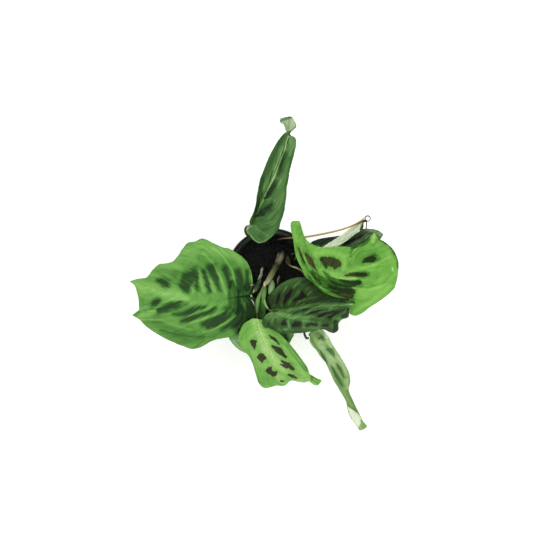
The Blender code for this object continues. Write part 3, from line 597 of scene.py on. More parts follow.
# the bright drooping leaf in front, with separate brown blotches and a rolled tip
frontLeaf = dict(
    slot="leaf_bright", arch=(0.08, 0.08), ribEnd=62, comb=2.6, blur=0.35, halo=0.1,
    rib=((0, -16, -48, 101), (0.15, -14, -58, 99.5), (0.3, -10, -68, 96), (0.45, -4, -80, 91),
         (0.6, 6, -93, 85), (0.75, 19, -105, 79), (0.88, 38, -116.5, 72), (1, 54, -123, 65)),
    left=((0.1, -11, -50, 101), (0.2, -3, -58, 99), (0.3, 5, -63, 96), (0.4, 13, -70, 92),
          (0.52, 23.6, -81.8, 87), (0.66, 33.6, -95.6, 81), (0.76, 40.1, -105.2, 77),
          (0.82, 42, -110.8, 74), (0.86, 45, -113.8, 70), (0.93, 50.5, -117.4, 67),
          (0.985, 55.6, -120.8, 65)),
    right=((0.1, -23, -49, 101), (0.18, -31, -55, 100), (0.26, -36, -66, 97), (0.34, -34, -79, 92),
           (0.42, -24.6, -92.2, 84), (0.5, -18.8, -108.2, 75), (0.58, -13.6, -124.2, 67),
           (0.64, -7, -129, 63), (0.7, 5, -126, 64), (0.76, 14.6, -126.4, 62), (0.815, 22, -120, 66),
           (0.86, 32, -122, 65), (0.885, 37, -122.4, 65), (0.905, 41, -120.8, 65),
           (0.925, 44, -122.4, 64), (0.95, 47, -125, 63), (0.985, 52.5, -125.2, 64)),
    greens=("#315F22", "#4F8A38", "#70A84A", "#92BD66", "#C2DCA2"), blotch=("#1C1910", "#3E3829"),
    under=("#A9C592", "#BFD6A8"), edgeHue="#4C8A36",
    tonesAndPaintedLight=(
        (0.34, 4, ((256, 322, 3), (261, 335, 5), (266, 350, 6), (276, 362, 4), (286, 372, 1))),
        (0.22, 3, ((254, 352, 2), (262, 366, 3), (272, 366, 3))),
        (0.1, 2, ((292, 352, 1), (300, 363, 4), (307, 372, 4))),
        (-0.35, 0.7, ((286, 346, 0.4), (296, 359, 0.6), (306, 371, 0.5))),
        (0.35, 0.7, ((284, 346.6, 0.4), (295, 361, 0.6), (305, 373, 0.5))),
        (-0.3, 1.3, ((280, 330, 1), (292, 345, 1.2), (303, 362, 1.2), (309, 371, 1))),
        (0.2, 1.2, ((276, 330, 0.8), (290, 348, 1), (300, 362, 1), (308, 374, 0.8))),
        (0.24, 1, ((283, 349, 0.6), (294, 363, 0.8), (305, 376, 0.8))),
        (-0.16, 4, ((262, 380, 6), (270, 382, 3))),
        (-0.34, 3, ((288, 344, 2), (299, 358, 3), (307, 370, 3))),
        (-0.18, 2, ((291, 371, 2), (300, 375, 2))),
        (0.16, 2, ((278, 376, 2), (284, 378, 2))),
        (-0.2, 2.5, ((248, 350, 2), (254, 366, 2), (260, 382, 3))),
        (-0.22, 4, ((246, 326, 6), (243, 336, 5))),
        (-0.25, 1.4, ((309, 368, 1), (310.5, 373, 1.4))),
        (-0.35, 1, ((312, 376.4, 0.6), (316.5, 379, 0.8), (321, 381.4, 0.8))),
        (-0.35, 0.9, ((311.6, 379.4, 0.6), (315, 381.4, 0.6), (319, 383.4, 0.6))),
        (0.25, 0.7, ((251, 352, 0.4), (256, 366, 0.6), (262, 382, 0.4))),
        (-0.5, 1.2, ((311.6, 376.5, 0.8), (311.6, 381.5, 0.8))),
        (-0.35, 1.6, ((313, 377, 4), (318, 382, 3))),
        (0.3, 0.8, ((313, 378.6, 0.6), (318.6, 381.8, 0.6))),
        (0.22, 2, ((303, 381, 1), (296, 379.4, 1))),
        (0.3, 1.2, ((277, 377, 1), (280, 383, 1), (286, 383, 1))),
    ),
    blotches=(
        ((251.4, 341.4, 3.2), (255.4, 341.4, 3.4)),
        ((253.4, 342.4, 5.8), (254.2, 345.4, 4.6), (254.6, 348.6, 1.6)),
        ((257.6, 357.2, 1.8), (261.6, 356.8, 7.4), (265.2, 358, 3.6)),
        ((261.4, 353.4, 1.8), (261.8, 358.5, 6.2), (262.4, 362.4, 1.6)),
        ((267, 370.4, 3.4), (269.6, 369.6, 5.2), (271, 367, 2)),
        ((269, 371.4, 4.2), (273.6, 373.8, 5.8), (276.4, 372, 2.6)),
        ((280.6, 381, 1.7), (283.6, 381, 1.7)),
        ((269, 334.8, 1.4), (273.5, 338.4, 3.4), (279.2, 344, 1.6)),
        ((272.4, 346, 2.6), (279, 350.4, 6.4), (285.8, 357, 2.4)),
        ((281.5, 360.8, 1.8), (288, 365, 5), (293, 368.8, 3.6)),
        ((280.6, 364.2, 1.6), (287, 367, 3.4)),
        ((288.6, 374.4, 2.4), (292.5, 376.2, 4), (296.6, 378, 2)),
    ),
)

# the dark leaf in the middle, with a row of square blotches
middleLeaf = dict(
    slot="leaf_dark", arch=(0.08, 0.1), ribGlow=0.1, comb=2.6, blur=0.4, veinSpacing=5, halo=0.3,
    rib=((0, 3, -41, 104), (0.2, 15, -46, 107), (0.4, 30, -49, 108), (0.6, 47, -50, 108),
         (0.8, 65, -50, 106), (0.93, 78, -43, 104), (1, 87.7, -31.8, 107)),
    left=((0.1, 8, -39, 104), (0.22, 19, -37.6, 103.5), (0.36, 31, -33, 103), (0.5, 45, -27.6, 101.6),
          (0.65, 59, -25, 101), (0.8, 73.6, -26.6, 102), (0.9, 81.6, -29.4, 104.4),
          (0.96, 85.4, -31, 106.4)),
    right=((0.05, -4, -42, 105), (0.1, -10, -49, 106), (0.16, -9, -57, 105), (0.24, 0.6, -57.4, 104),
           (0.34, 12, -63.4, 103), (0.46, 28, -64, 101), (0.58, 44, -62, 100), (0.68, 54, -59.4, 101),
           (0.78, 67.4, -63.8, 98), (0.83, 72, -60, 98), (0.87, 72.2, -53, 99), (0.9, 76, -49.4, 98),
           (0.935, 82, -47.6, 97), (0.955, 83.4, -45.4, 97), (0.985, 84, -34.6, 101)),
    greens=("#0E140C", "#25391D", "#3D602D", "#608D4B", "#A0CC85"), blotch=("#161914", "#30352A"),
    under=("#7D9B6C", "#93AF80"), edgeHue="#2A4A26",
    # the dark strip from (306, 302) to (346, 301) along the upper margin is painted shade under the right
    # leaf; the darker strokes along the lower margin, near y 330, are painted shade where the blade curves
    # down
    tonesAndPaintedLight=(
        (0.26, 2, ((276, 312, 2), (285, 316, 3), (296, 317, 2), (308, 317, 1))),
        (0.34, 1.2, ((288, 310.5, 1), (305, 307.5, 1), (325, 306, 1), (340, 305, 1), (353, 303.8, 1))),
        (0.3, 1, ((300, 315, 0.6), (315, 309.4, 0.8), (332, 307.6, 0.6))),
        (-0.58, 2, ((306, 302.4, 1.6), (318, 300.6, 3), (332, 299.6, 4), (346, 300.8, 2.2))),
        (0.22, 0.8, ((292, 307.6, 0.5), (306, 302.6, 0.7), (320, 299, 0.5))),
        (0.2, 0.8, ((300, 308, 0.5), (314, 303.4, 0.7), (328, 300.6, 0.5))),
        (0.3, 1, ((310, 316, 0.6), (322, 311.5, 0.8), (338, 308, 0.6))),
        (0.26, 0.9, ((318, 319, 0.6), (330, 315, 0.6), (340, 311.6, 0.4))),
        (0.22, 1, ((302, 321.4, 0.8), (314, 321.6, 0.6))),
        (-0.34, 1.6, ((312, 319.4, 2), (322, 320.8, 1.6), (334, 321.6, 2.5))),
        (0.3, 1.8, ((285, 329, 1.5), (300, 329.5, 1.8), (318, 328.6, 1.5))),
        (-0.3, 2, ((312, 313, 2), (330, 318, 3))),
        (-0.8, 1.6, ((348.4, 309, 1.2), (347.4, 314, 2.4), (343, 316.6, 3))),
        (0.3, 0.8, ((341, 306, 0.8), (352, 304.4, 0.7))),
        (-0.7, 3, ((336, 322, 2), (336, 331, 4))),
        (-0.3, 1.5, ((283, 331.6, 1), (300, 332, 1))),
        (-0.35, 2, ((290, 329, 1.5), (310, 330.5, 2), (330, 330, 2))),
        (-0.4, 2.5, ((264, 322, 4), (270, 327, 4))),
        (-0.45, 1, ((303, 309.8, 0.8), (318, 305.4, 0.8))),
        (-0.35, 1.2, ((275, 319, 1), (275, 327, 5))),
        (0.4, 0.8, ((264, 316.5, 0.8), (268, 313.6, 1.2), (272, 312.6, 1.2))),
        (0.25, 1, ((288, 321, 0.8), (289.5, 327, 0.8))),
        (0.16, 2, ((271, 317.4, 2), (279, 315, 2))),
        (0.25, 1, ((303.5, 321, 0.8), (304, 327, 0.8))),
        (0.14, 1, ((319, 322, 0.8), (320, 327, 0.8))),
    ),
    blotches=(
        ((284.6, 319.6, 0.9), (284, 321.8, 3.2), (283.7, 323.2, 4.6)),
        ((282.2, 323.8, 3), (285.4, 323.8, 3)),
        ((293.4, 325, 3.4), (296.4, 323.6, 4.4), (299, 323.8, 4.8)),
        ((293.8, 325.8, 2.2), (299.8, 325.6, 2.2)),
        ((307.4, 325, 2.6), (311, 323.6, 2.4), (316, 324.4, 2.8)),
        ((323.2, 325, 2.6), (327.4, 325, 3.4)),
        ((293, 313.6, 0.6), (300, 311.4, 1.2), (307, 309.6, 0.6)),
        ((304, 315.6, 1), (312.5, 312.4, 1.8), (322, 310, 1.2), (327, 309.6, 0.4)),
        ((318.5, 316.6, 1.8), (326, 313.4, 2.2), (335, 311.6, 1.4)),
        ((329, 317.4, 2.2), (335, 313.8, 2.8), (341, 310.8, 2), (345, 309, 0.8)),
    ),
)

# the dark leaf below the middle one, whose far half shows
lowerLeaf = dict(
    slot="leaf_dark", arch=(0.05, 0.04), ribGlow=0.1, comb=2, blur=0.35, feather=0.1, halo=0.3,
    rib=((0, -1, -38, 96), (0.25, 14, -38, 97), (0.5, 34, -34, 98), (0.75, 60, -32, 98.5),
         (0.88, 75, -30.5, 102.5), (1, 89, -29.5, 108)),
    left=((0.08, -5, -29, 96), (0.16, -3, -22, 97), (0.25, 4, -15, 98), (0.35, 14, -8, 98),
          (0.45, 27, -4, 99), (0.55, 41, -5, 99), (0.65, 53, -12, 98.5), (0.75, 65, -19.5, 98),
          (0.82, 74, -24.5, 98.5), (0.88, 79, -27.5, 102.5)),
    right=((0.15, 4, -47, 95), (0.4, 22, -50, 95), (0.65, 50, -46, 96), (0.85, 72, -36, 100)),
    greens=("#0A1108", "#1B2C13", "#2E481F", "#517839", "#90B672"), blotch=("#0C0908", "#241C17"),
    under=("#6F8C62", "#86A277"), edgeHue="#35602F",
    tonesAndPaintedLight=(
        (0.14, 4, ((286, 284, 4), (298, 281, 4))),
        (0.3, 1.2, ((303, 288, 0.6), (298, 293, 1), (292, 299, 0.8), (288, 304, 0.6))),
        (0.3, 1.2, ((286, 288, 0.8), (280, 296, 1), (274, 305, 1))),
        (0.2, 1, ((295, 286, 0.8), (288, 291, 0.8))),
        (0.26, 1, ((312, 291, 0.8), (304, 298, 0.8), (297, 304, 0.6))),
        (-0.26, 4, ((314, 286, 6), (320, 295, 6))),
        (0.35, 1.2, ((290, 308.6, 1), (298, 306.6, 1.2), (306, 304, 1.2))),
        (0.3, 1.2, ((276, 309.6, 0.8), (290, 309.4, 1))),
        (0.22, 1.2, ((300, 301, 0.6), (315, 297, 0.8), (330, 297, 0.4))),
        (-0.3, 2, ((312, 303, 2), (330, 302, 2), (345, 302, 1.5))),
        (-0.25, 3, ((304, 282, 2), (312, 284, 2))),
        (-0.6, 1.4, ((352, 302.6, 1.2), (355, 302.4, 1.2))),
        (-0.3, 3, ((270, 296, 2), (270, 304, 2))),
    ),
    blotches=(
        ((280, 293.6, 1.6), (278.4, 298, 3.4), (276.2, 303.4, 1.6)),
        ((291.4, 290.2, 2.6), (288, 296, 4.6), (284.6, 302.4, 2.2)),
        ((305.6, 296, 2.4), (299.6, 298, 4.4), (294.4, 300.6, 1.6)),
        ((302.4, 291.5, 2), (302, 295.4, 5.2)),
    ),
)

# the large bright cupped leaf at the right, with one lobe curled up towards the camera
rightLeaf = dict(
    slot="leaf_bright", arch=(-0.16, 0.04), ribGlow=0.1, ribWidth=0.9, comb=4, blur=0.5, halo=0.2,
    streak=0.4, broad=0.15, bend=(0.2, 0.2), feather=0.05,
    rib=((0, 36, -3, 108), (0.2, 49, -7, 110), (0.4, 64, -7, 112), (0.6, 79, 0, 114), (0.8, 91, 17, 117),
         (0.92, 100, 31, 119), (1, 108, 44, 121)),
    left=((0.022, 31, 7, 114), (0.045, 25, 19, 121), (0.07, 22, 35, 130), (0.1, 19, 51.8, 140),
          (0.107, 19.8, 54, 141.5), (0.12, 24, 54.9, 143.5), (0.135, 28.2, 54.5, 144),
          (0.145, 29, 52.4, 144), (0.175, 30.4, 46, 143), (0.21, 34, 38, 141), (0.28, 42, 31, 138),
          (0.42, 56, 28, 135), (0.58, 72, 29, 133), (0.72, 85, 29, 130), (0.86, 97, 34, 126)),
    right=((0.09, 43, -8.2, 107), (0.17, 53.6, -17.9, 106), (0.25, 67.6, -24.4, 104), (0.32, 79, -28, 99),
           (0.37, 84.4, -36, 98), (0.405, 84.2, -42.8, 98.6), (0.44, 89, -45, 99.2), (0.5, 98, -42, 101),
           (0.56, 108, -34, 104), (0.63, 120.6, -24.3, 108), (0.7, 130.7, -14.4, 112),
           (0.77, 133.7, 3, 117), (0.83, 133.6, 13.2, 119), (0.88, 130, 23.3, 120.4),
           (0.92, 124.2, 30, 121.4), (0.95, 118, 34.8, 122), (0.975, 112.6, 37.6, 122)),
    greens=("#1C3A12", "#3F7426", "#6AA643", "#88BF5A", "#C2E49A"), blotch=("#1A2C0E", "#54452A"),
    under=("#9CBF82", "#B1D097"), edgeHue="#5E8F3E",
    # the dark band from (312, 272) to (360, 284) is painted shade in the valley of the cup, and the bright
    # crescent along its upper edge, from (330, 275) to (357, 278), is painted highlight; so are the light
    # strokes at the nose (374, 234) and along the top edge
    tonesAndPaintedLight=(
        (-0.35, 2.5, ((300, 256, 1.5), (305, 268, 3), (312, 277, 4), (318, 284, 4))),
        (-0.75, 2.5, ((312, 272, 1.5), (318, 278, 5), (326, 284, 8), (336, 288, 8), (348, 290, 6))),
        (-0.4, 2.5, ((368, 260, 3), (374, 257.6, 6), (378, 258, 4))),
        (0.7, 0.8, ((392.4, 267.6, 0.6), (392.8, 270.4, 0.8))),
        (0.35, 1.2, ((297.4, 253, 0.8), (301, 264, 1.4), (305.6, 273, 1))),
        (-0.5, 0.9, ((350.6, 256.6, 1.6), (354.4, 252.4, 1), (357.6, 249, 0.6))),
        (-0.45, 2, ((358, 274.6, 3), (364, 274.4, 5), (368, 274, 3))),
        (-0.2, 2, ((354, 283.6, 4), (361, 283.8, 4))),
        (-0.15, 1.5, ((352, 293, 6), (355.4, 292, 4))),
        (0.35, 1.5, ((336, 290.6, 2), (344, 293, 4), (350, 294, 5))),
        (-0.3, 2, ((322, 260, 2), (324, 264, 2))),
        (-0.6, 1, ((351, 248.2, 1), (359, 246, 2), (365.6, 242.8, 2.4), (369.6, 238.6, 1))),
        (0.55, 0.5, ((318, 247.4, 0.5), (340, 246.4, 0.5), (354, 246.2, 0.5))),
        (-0.75, 1.2, ((323, 271, 1), (328, 276, 3.5), (335, 281, 5.6), (344, 283, 6), (354, 283.6, 5),
                      (360, 281.6, 2))),
        (-0.34, 2, ((320, 290, 2), (330, 296, 4), (342, 299, 5), (352, 300, 4))),
        (0.22, 2, ((299, 248, 1.5), (302, 257, 2.5), (310, 260, 4), (313, 266, 2))),
        (-0.7, 0.8, ((378.5, 239.1, 0.5), (389.2, 245.2, 0.8), (396.9, 257.5, 0.9), (398, 268, 0.6))),
        (0.3, 2, ((356, 250, 2), (352, 262, 2))),
        (0.26, 2.5, ((316, 268, 1), (328, 273.5, 3), (344, 276.5, 3), (355, 279, 1))),
        (0.5, 0.7, ((330, 275.4, 0.4), (337, 278, 0.7), (346, 278.9, 0.9), (357, 278.2, 0.4))),
        (-0.45, 1.2, ((340, 280, 0.6), (350, 282, 1.2), (359, 280, 0.4))),
        (0.26, 3, ((316, 254, 3), (330, 252, 3), (343, 256, 3), (344, 268, 3))),
        (-0.2, 5, ((356, 262, 6), (364, 256, 8), (372, 250, 6))),
        (-0.14, 3, ((354, 248, 3), (352, 257, 3), (349, 266, 2))),
        (0.2, 4, ((360, 294, 6), (375, 290, 6), (388, 276, 4))),
        (0.22, 2, ((355, 311, 2), (372, 301, 3), (390, 286, 2))),
        (0.3, 1.2, ((348, 271.5, 0.6), (362, 268.6, 1.4), (376, 264.4, 1.4), (391, 256, 0.8))),
        (-0.26, 1.2, ((350, 286, 0.6), (368, 287.6, 1.4), (384, 282.4, 1.4), (393, 273, 0.8))),
        (0.2, 1.6, ((354, 288, 0.8), (370, 289.6, 1.4), (387, 284, 1.4))),
        (0.45, 2, ((374, 234, 2), (373, 241, 2.5))),
        (-0.26, 1.5, ((366, 240, 1), (358, 244, 1.5), (350, 252, 2))),
        (0.3, 1, ((362, 244, 0.6), (354, 251, 1), (349, 260, 0.8))),
        (-0.25, 1, ((377, 240, 0.8), (373, 246, 0.8))),
        (0.2, 3, ((386, 250, 2), (393, 262, 3), (395, 274, 2))),
        (0.2, 3, ((293, 228, 2), (296, 240, 2))),
        (0.3, 0.6, ((312, 279, 0.3), (322, 285.2, 0.5), (334, 287.6, 0.6), (349, 288.4, 0.3))),
        (0.22, 0.6, ((312, 282, 0.3), (325, 290, 0.5), (337, 292.6, 0.5), (349, 294.4, 0.3))),
        (0.22, 0.7, ((315, 286.6, 0.3), (327, 294, 0.6), (338, 297.4, 0.6), (350, 299.6, 0.3))),
        (0.28, 0.7, ((304, 266, 0.4), (310, 275, 0.9), (318, 281.6, 0.6), (328, 283.6, 0.3))),
        (0.3, 0.6, ((309, 268, 0.3), (315, 275, 0.5), (325, 280, 0.3))),
        (-0.2, 1.2, ((395, 292, 0.8), (380, 304, 1), (366, 312, 1))),
        (-0.45, 1.5, ((309, 277, 1), (313, 283, 1.6), (318, 288.5, 2), (324, 293.4, 1.6), (330, 296.6, 1))),
        (-0.9, 0.7, ((350, 302.4, 0.5), (353, 302.2, 0.9), (355, 303, 0.4))),
    ),
    blotches=(
        ((298.6, 247, 1.6), (301.4, 255, 3), (304.6, 262.6, 1.2)),
        ((305.6, 253.6, 2.4), (310, 260, 6), (314.4, 268, 2.2)),
        ((312.6, 261, 1.6), (316.5, 270.6, 1.4)),
        ((321, 258.6, 3.8), (326, 260.4, 8), (332, 262, 10), (337, 263.4, 8)),
        ((334.4, 264.6, 8), (334.8, 266.6, 5)),
        ((323.6, 261.4, 4), (326.2, 266.8, 3)),
        ((362.6, 262.2, 2), (366, 260.2, 4.4), (370, 258.8, 6.2), (372.6, 258.4, 6.6)),
        ((344.6, 275.4, 1.2), (350, 274.8, 3.8), (357, 274, 5.4), (365, 274.2, 4.8)),
        ((343, 282, 0.8), (352, 283.4, 2.6), (359, 283.5, 4.2)),
        ((328, 286.4, 1.2), (340, 289.6, 4), (352, 291.4, 7)),
        ((328, 291.2, 1.2), (341, 294, 3.6), (351, 295.4, 6)),
        ((321, 294.6, 1), (332, 297.4, 1.8)),
        ((334, 298, 1.4), (348, 299.8, 2.2)),
    ),
)

# the narrow pale leaf that hangs down, with a twist near its tip
trailingLeaf = dict(
    slot="leaf_pale", arch=(0.08, 0.08), ribGlow=0.12, comb=2, blur=0.6, veinSpacing=5.5, feather=0.1,
    streak=0.8,
    rib=((0, 42, -69, 85), (0.15, 50, -78, 83), (0.3, 58, -89, 78), (0.45, 67, -101, 72),
         (0.6, 77, -116, 65), (0.72, 84, -129, 59), (0.85, 93, -147, 53), (1, 105, -179.6, 44)),
    left=((0.04, 40, -66, 86), (0.08, 45, -60, 88), (0.13, 53.4, -59.4, 89), (0.18, 60.2, -66.4, 88),
          (0.26, 67.7, -79.8, 84), (0.36, 78.5, -96.2, 78), (0.47, 86, -110, 71), (0.57, 88, -121, 66),
          (0.66, 87, -131, 62), (0.76, 92, -144, 57), (0.87, 100.4, -160.5, 52),
          (0.93, 104.4, -168.6, 48), (0.98, 109, -176.6, 45)),
    right=((0.06, 41.6, -73.8, 83), (0.2, 49.6, -84.8, 79), (0.32, 54.6, -92.8, 74), (0.43, 62, -103, 68),
           (0.55, 69, -119, 62), (0.66, 76, -131, 57), (0.77, 85.2, -148, 52), (0.84, 86.8, -156.5, 49),
           (0.92, 93.4, -169.6, 46), (0.96, 98.6, -177, 45), (0.985, 101.4, -180.4, 44)),
    greens=("#325826", "#547A3F", "#82A560", "#A2BC86", "#D8E7C6"), blotch=("#3A5A34", "#557A4A"),
    under=("#CAD9B3", "#E5EED5"), edgeHue="#6C9A5C",
    # the pale band down the right side, from (328, 336) to (348, 374), is partly painted highlight, where
    # the blade faces the light at a slant
    tonesAndPaintedLight=(
        (0.36, 3, ((328, 336, 4), (336, 352, 4), (345, 366, 4), (348, 374, 2))),
        (0.3, 2.5, ((318, 340, 3), (326, 352, 4), (334, 364, 4))),
        (-0.4, 1.2, ((309, 335, 2), (313, 342, 2), (318, 350, 1.2))),
        (0.3, 2, ((346, 380, 2), (346, 388, 2))),
        (0.5, 1.5, ((315, 328.6, 1.2), (321, 331, 2), (327, 337, 1.5))),
        (0.14, 2, ((326, 338, 1.5), (332, 345, 1.5))),
        (-0.35, 1.2, ((347, 366, 1), (348.4, 376, 1.2))),
        (0.45, 0.7, ((326, 340, 0.4), (336, 357, 0.7), (345, 376, 0.5))),
        (0.35, 0.6, ((330, 345, 0.4), (341, 362, 0.6), (348, 380, 0.4))),
        (-0.3, 0.6, ((328, 343, 0.4), (338, 360, 0.5), (346, 378, 0.4))),
        (-0.6, 0.8, ((320, 350, 0.6), (323, 357, 1.2), (327, 364, 0.8))),
        (-0.2, 3, ((336, 384, 4), (346, 396, 5), (356, 408, 4))),
        (-0.42, 0.9, ((343, 400, 0.8), (352, 408, 1), (360, 414, 0.8))),
        (-0.2, 2, ((365, 427, 3), (362.6, 421.5, 1.5))),
        (-0.14, 3, ((314, 332, 3), (320, 338, 3))),
        (-0.12, 2, ((333, 368, 1.5), (340, 384, 1.5))),
    ),
    blotches=(
        ((318.6, 339, 1.2), (321.6, 336.6, 3), (323.4, 339, 1.6)),
        ((326.8, 349, 2.4), (331, 350.6, 5.4), (334.4, 355, 2)),
        ((321.6, 352.6, 0.9), (325, 358.8, 1.2)),
        ((323.6, 353, 0.6), (326.4, 361, 1.2)),
        ((331.6, 366, 1.2), (336.6, 376, 3.4), (342.6, 385.6, 1.4)),
        ((337, 363.8, 1.6), (340, 368.5, 2.8), (344, 377, 0.9)),
    ),
    turned=(
        ((348, 407.5, 1), (352, 412.5, 5.5), (356, 417.5, 8.5), (358, 422.5, 5.5), (358.6, 426.5, 1)),
        ((357, 414.6, 1.5), (359.6, 418.5, 3)),
    ),
)

# the leaf under the right one: its very dark greens are partly its own colour and partly painted shade,
# where the right leaf shadows it; the light strokes at (366-380, 229-234) are painted highlight
backLeaf = dict(
    slot="leaf_dark", arch=(0.04, 0.04), ribGlow=0.05, vein=0.16, streak=0.8, veinSpacing=3.2, feather=0,
    rib=((0, 39, 30, 100), (0.3, 58, 29, 101), (0.6, 81, 33, 102), (0.85, 103, 38, 103), (1, 120, 43, 104)),
    left=((0.1, 42, 34, 101), (0.2, 50, 38, 102), (0.35, 63, 40, 103), (0.5, 77, 42, 103),
          (0.65, 90, 46, 104), (0.8, 102, 49, 104), (0.92, 114, 47, 104)),
    right=((0.15, 43, 23, 99), (0.4, 63, 18, 99), (0.65, 84, 22, 100), (0.85, 106, 30, 101),
           (0.95, 117, 38, 103)),
    greens=("#0F150E", "#243020", "#465840", "#6F8C5E", "#A6C294"), blotch=("#10160E", "#1E281A"),
    under=("#5E6F58", "#6E8068"), edgeHue="#1B2F1E",
    tonesAndPaintedLight=(
        (0.5, 2, ((366, 229.4, 1), (374, 231, 2), (380, 234, 3))),
        (-0.4, 1.4, ((344, 244.4, 1.6), (350, 242.4, 3), (355, 239, 1))),
        (-0.4, 1.2, ((360, 244, 1.2), (366, 241, 1.4), (369, 237.6, 0.8))),
        (-0.5, 2, ((312, 242.6, 2), (322, 241.6, 5), (332, 240, 4))),
        (0.55, 0.6, ((312, 244.6, 0.4), (319, 246.6, 0.5))),
        (0.22, 2, ((352, 243, 2), (362, 238, 2), (370, 236, 2))),
    ),
    blotches=(
        ((346, 243, 2), (362, 236, 1.5)),
    ),
)

# the small leaf at the end of the runner, folded on its rib, seen from below
foldedLeaf = dict(
    slot="leaf_pale", arch=(0.08, 0.08), ribGlow=0.1, feather=0, veinSpacing=3, vein=0.2,
    rib=((0, 97.6, 61.2, 114.8), (0.3, 86, 49, 112), (0.65, 68, 36, 110), (1, 50, 26, 108)),
    left=((0.1, 97.8, 54, 113), (0.2, 96.2, 47.6, 112), (0.27, 92, 44.8, 111.6), (0.45, 80, 36, 110),
          (0.75, 65, 28, 109)),
    right=((0.12, 92.6, 57, 112), (0.25, 86, 51, 109), (0.45, 76.5, 43.6, 107), (0.6, 69, 38.4, 106.5),
           (0.8, 60, 33, 106)),
    greens=("#2C4425", "#97AA82", "#D6E1C6", "#E4ECD6", "#FBFFF2"), blotch=("#26402A", "#33523A"),
    under=("#2F5230", "#456C43"), edgeHue="#8DAA78",
    tonesAndPaintedLight=(
        (-1.2, 0.7, ((364.8, 219.6, 0.8), (363.2, 224.6, 2.4), (361.6, 229.6, 3.2))),
        (0.8, 0.8, ((332, 245.4, 0.8), (345, 241.8, 0.8), (354, 235.8, 0.8), (359, 231, 0.6))),
        (-0.3, 0.8, ((330, 244, 0.6), (345, 235, 0.6), (358, 226, 0.6))),
    ),
)

# the pale leaf below the left and the front one, of which a crescent shows
underLeaf = dict(
    slot="leaf_pale", arch=(0.05, 0.05), ribGlow=0.2, feather=0.1,
    rib=((0, -11, -57, 89), (0.35, -10, -69, 83), (0.7, -8, -83, 73), (1, -6, -97, 60)),
    left=((0.15, 0, -56, 90), (0.3, 14, -58, 88), (0.45, 24, -65, 84), (0.6, 22, -72, 80),
          (0.75, 16, -82, 74), (0.9, 5, -92, 65)),
    right=((0.15, -22, -55, 90), (0.3, -37, -59, 88), (0.45, -47, -68, 83), (0.6, -45, -75, 79),
           (0.7, -40, -81, 76), (0.8, -34, -86, 73), (0.9, -24, -91, 68)),
    greens=("#1E3720", "#3E6A38", "#6E9C58", "#9EC088", "#CFE2BC"), blotch=("#2A3A28", "#3A5036"),
    under=("#A9C096", "#C0D2AE"), edgeHue="#5C8A4E",
    tonesAndPaintedLight=(
        (-0.04, 3, ((228, 334, 4), (234, 344, 5), (244, 350, 4))),
        (-0.3, 3, ((284, 334, 5), (290, 338, 6))),
        (-0.6, 0.8, ((227.6, 337, 0.8), (231, 345, 0.8), (240, 353, 0.8), (248, 355, 0.6))),
        (0.3, 1, ((233, 340, 0.8), (238, 346.6, 1), (244, 350, 1))),
    ),
    blotches=(
        ((285, 335, 2.6), (287, 340, 1.6)),
    ),
)

leaves = dict(left=leftLeaf, rear=rearLeaf, front=frontLeaf, middle=middleLeaf, lower=lowerLeaf,
              right=rightLeaf, trailing=trailingLeaf, back=backLeaf, folded=foldedLeaf, under=underLeaf)
for name, shape in leaves.items():
    growLeaf(name, shape)
print("leaves grown:", len(leaves))


# what all stalks share
stalkMesh = dict(
    around=28, step=1.2, fewest=24,    # points round a stalk, millimetres between rings, fewest rings
    dome=((0, 0), (0.08, 0.4), (0.35, 0.76)),    # radii in from an end, and share of the radius there
    ridges=9, uneven=0.05, lump=2.5,   # ridges round a stalk, share that it swells, size in millimetres
)


def tubeRings(rows):
    # circles square to a smooth path through rows of (x, y, z, radius), closed by a dome at each end
    path, total = pathOf(rows)
    start, end = path[0, 4], path[-1, 4]
    inner = np.linspace(start, total - end, max(stalkMesh["fewest"], int(total / stalkMesh["step"])))
    inwards, share = np.array(stalkMesh["dome"]).T
    at = np.concatenate([inwards * start, inner, total - inwards[::-1] * end])
    dome = np.concatenate([share, np.ones(len(inner)), share[::-1]])
    path = through(path, at)
    centre, radius = path[:, :3], path[:, 3] * dome
    ahead = unit(np.gradient(centre, at, axis=0))
    reference = np.eye(3)[np.argmin(np.abs(ahead).max(0))]
    side = unit(np.cross(ahead, reference))
    up = np.cross(side, ahead)
    angle = np.linspace(0, 2 * np.pi, stalkMesh["around"], endpoint=False)[None, :]
    spread = side[:, None] * np.cos(angle)[..., None] + up[:, None] * np.sin(angle)[..., None]
    return centre, radius, spread, at, angle


# plant stalk: fibrous satin skin, slightly ribbed along its length, its colour changing on the way up;
# a fibre is a third of the radius wide, about 0.5 millimetres, and nearly as long as the stalk
def stalkMaterial(name, hues, roughness=0.5):
    material, tree, shader = startMaterial(name, 1.45, 0.2, roughness)
    way = addNode(tree, "ShaderNodeAttribute", {"attribute_name": "stalkWay"}, output=1)
    along = addNode(tree, "ShaderNodeSeparateXYZ", None, {0: way}, output=2)
    fibres = addNode(tree, "ShaderNodeVectorMath", {"operation": "MULTIPLY"}, {0: way, 1: (3, 3, 1.2)})
    streak = addNode(tree, "ShaderNodeTexNoise", None, {"Vector": fibres, "Scale": 1.0, "Detail": 4})
    # the borders between colours fray by up to 0.08 of the length, and fibres are lighter and darker
    place = addNode(tree, "ShaderNodeMath", {"operation": "MULTIPLY_ADD"}, {0: streak, 1: 0.16, 2: -0.08})
    place = addNode(tree, "ShaderNodeMath", {"operation": "ADD"}, {0: place, 1: along})
    base = addNode(tree, "ShaderNodeValToRGB", None, {0: place}, stops=hues)
    shade = addNode(tree, "ShaderNodeMapRange", None, {"Value": streak, "From Min": 0.3, "From Max": 0.7,
                                                       "To Min": 0.5, "To Max": 1.3})
    colour = addNode(tree, "ShaderNodeVectorMath", {"operation": "SCALE"}, {0: base, "Scale": shade})
    tree.links.new(colour, shader.inputs["Base Color"])
    bump = addNode(tree, "ShaderNodeBump", None, {"Strength": 0.4, "Distance": 0.3 * mm, "Height": streak})
    tree.links.new(bump, shader.inputs["Normal"])
    return material


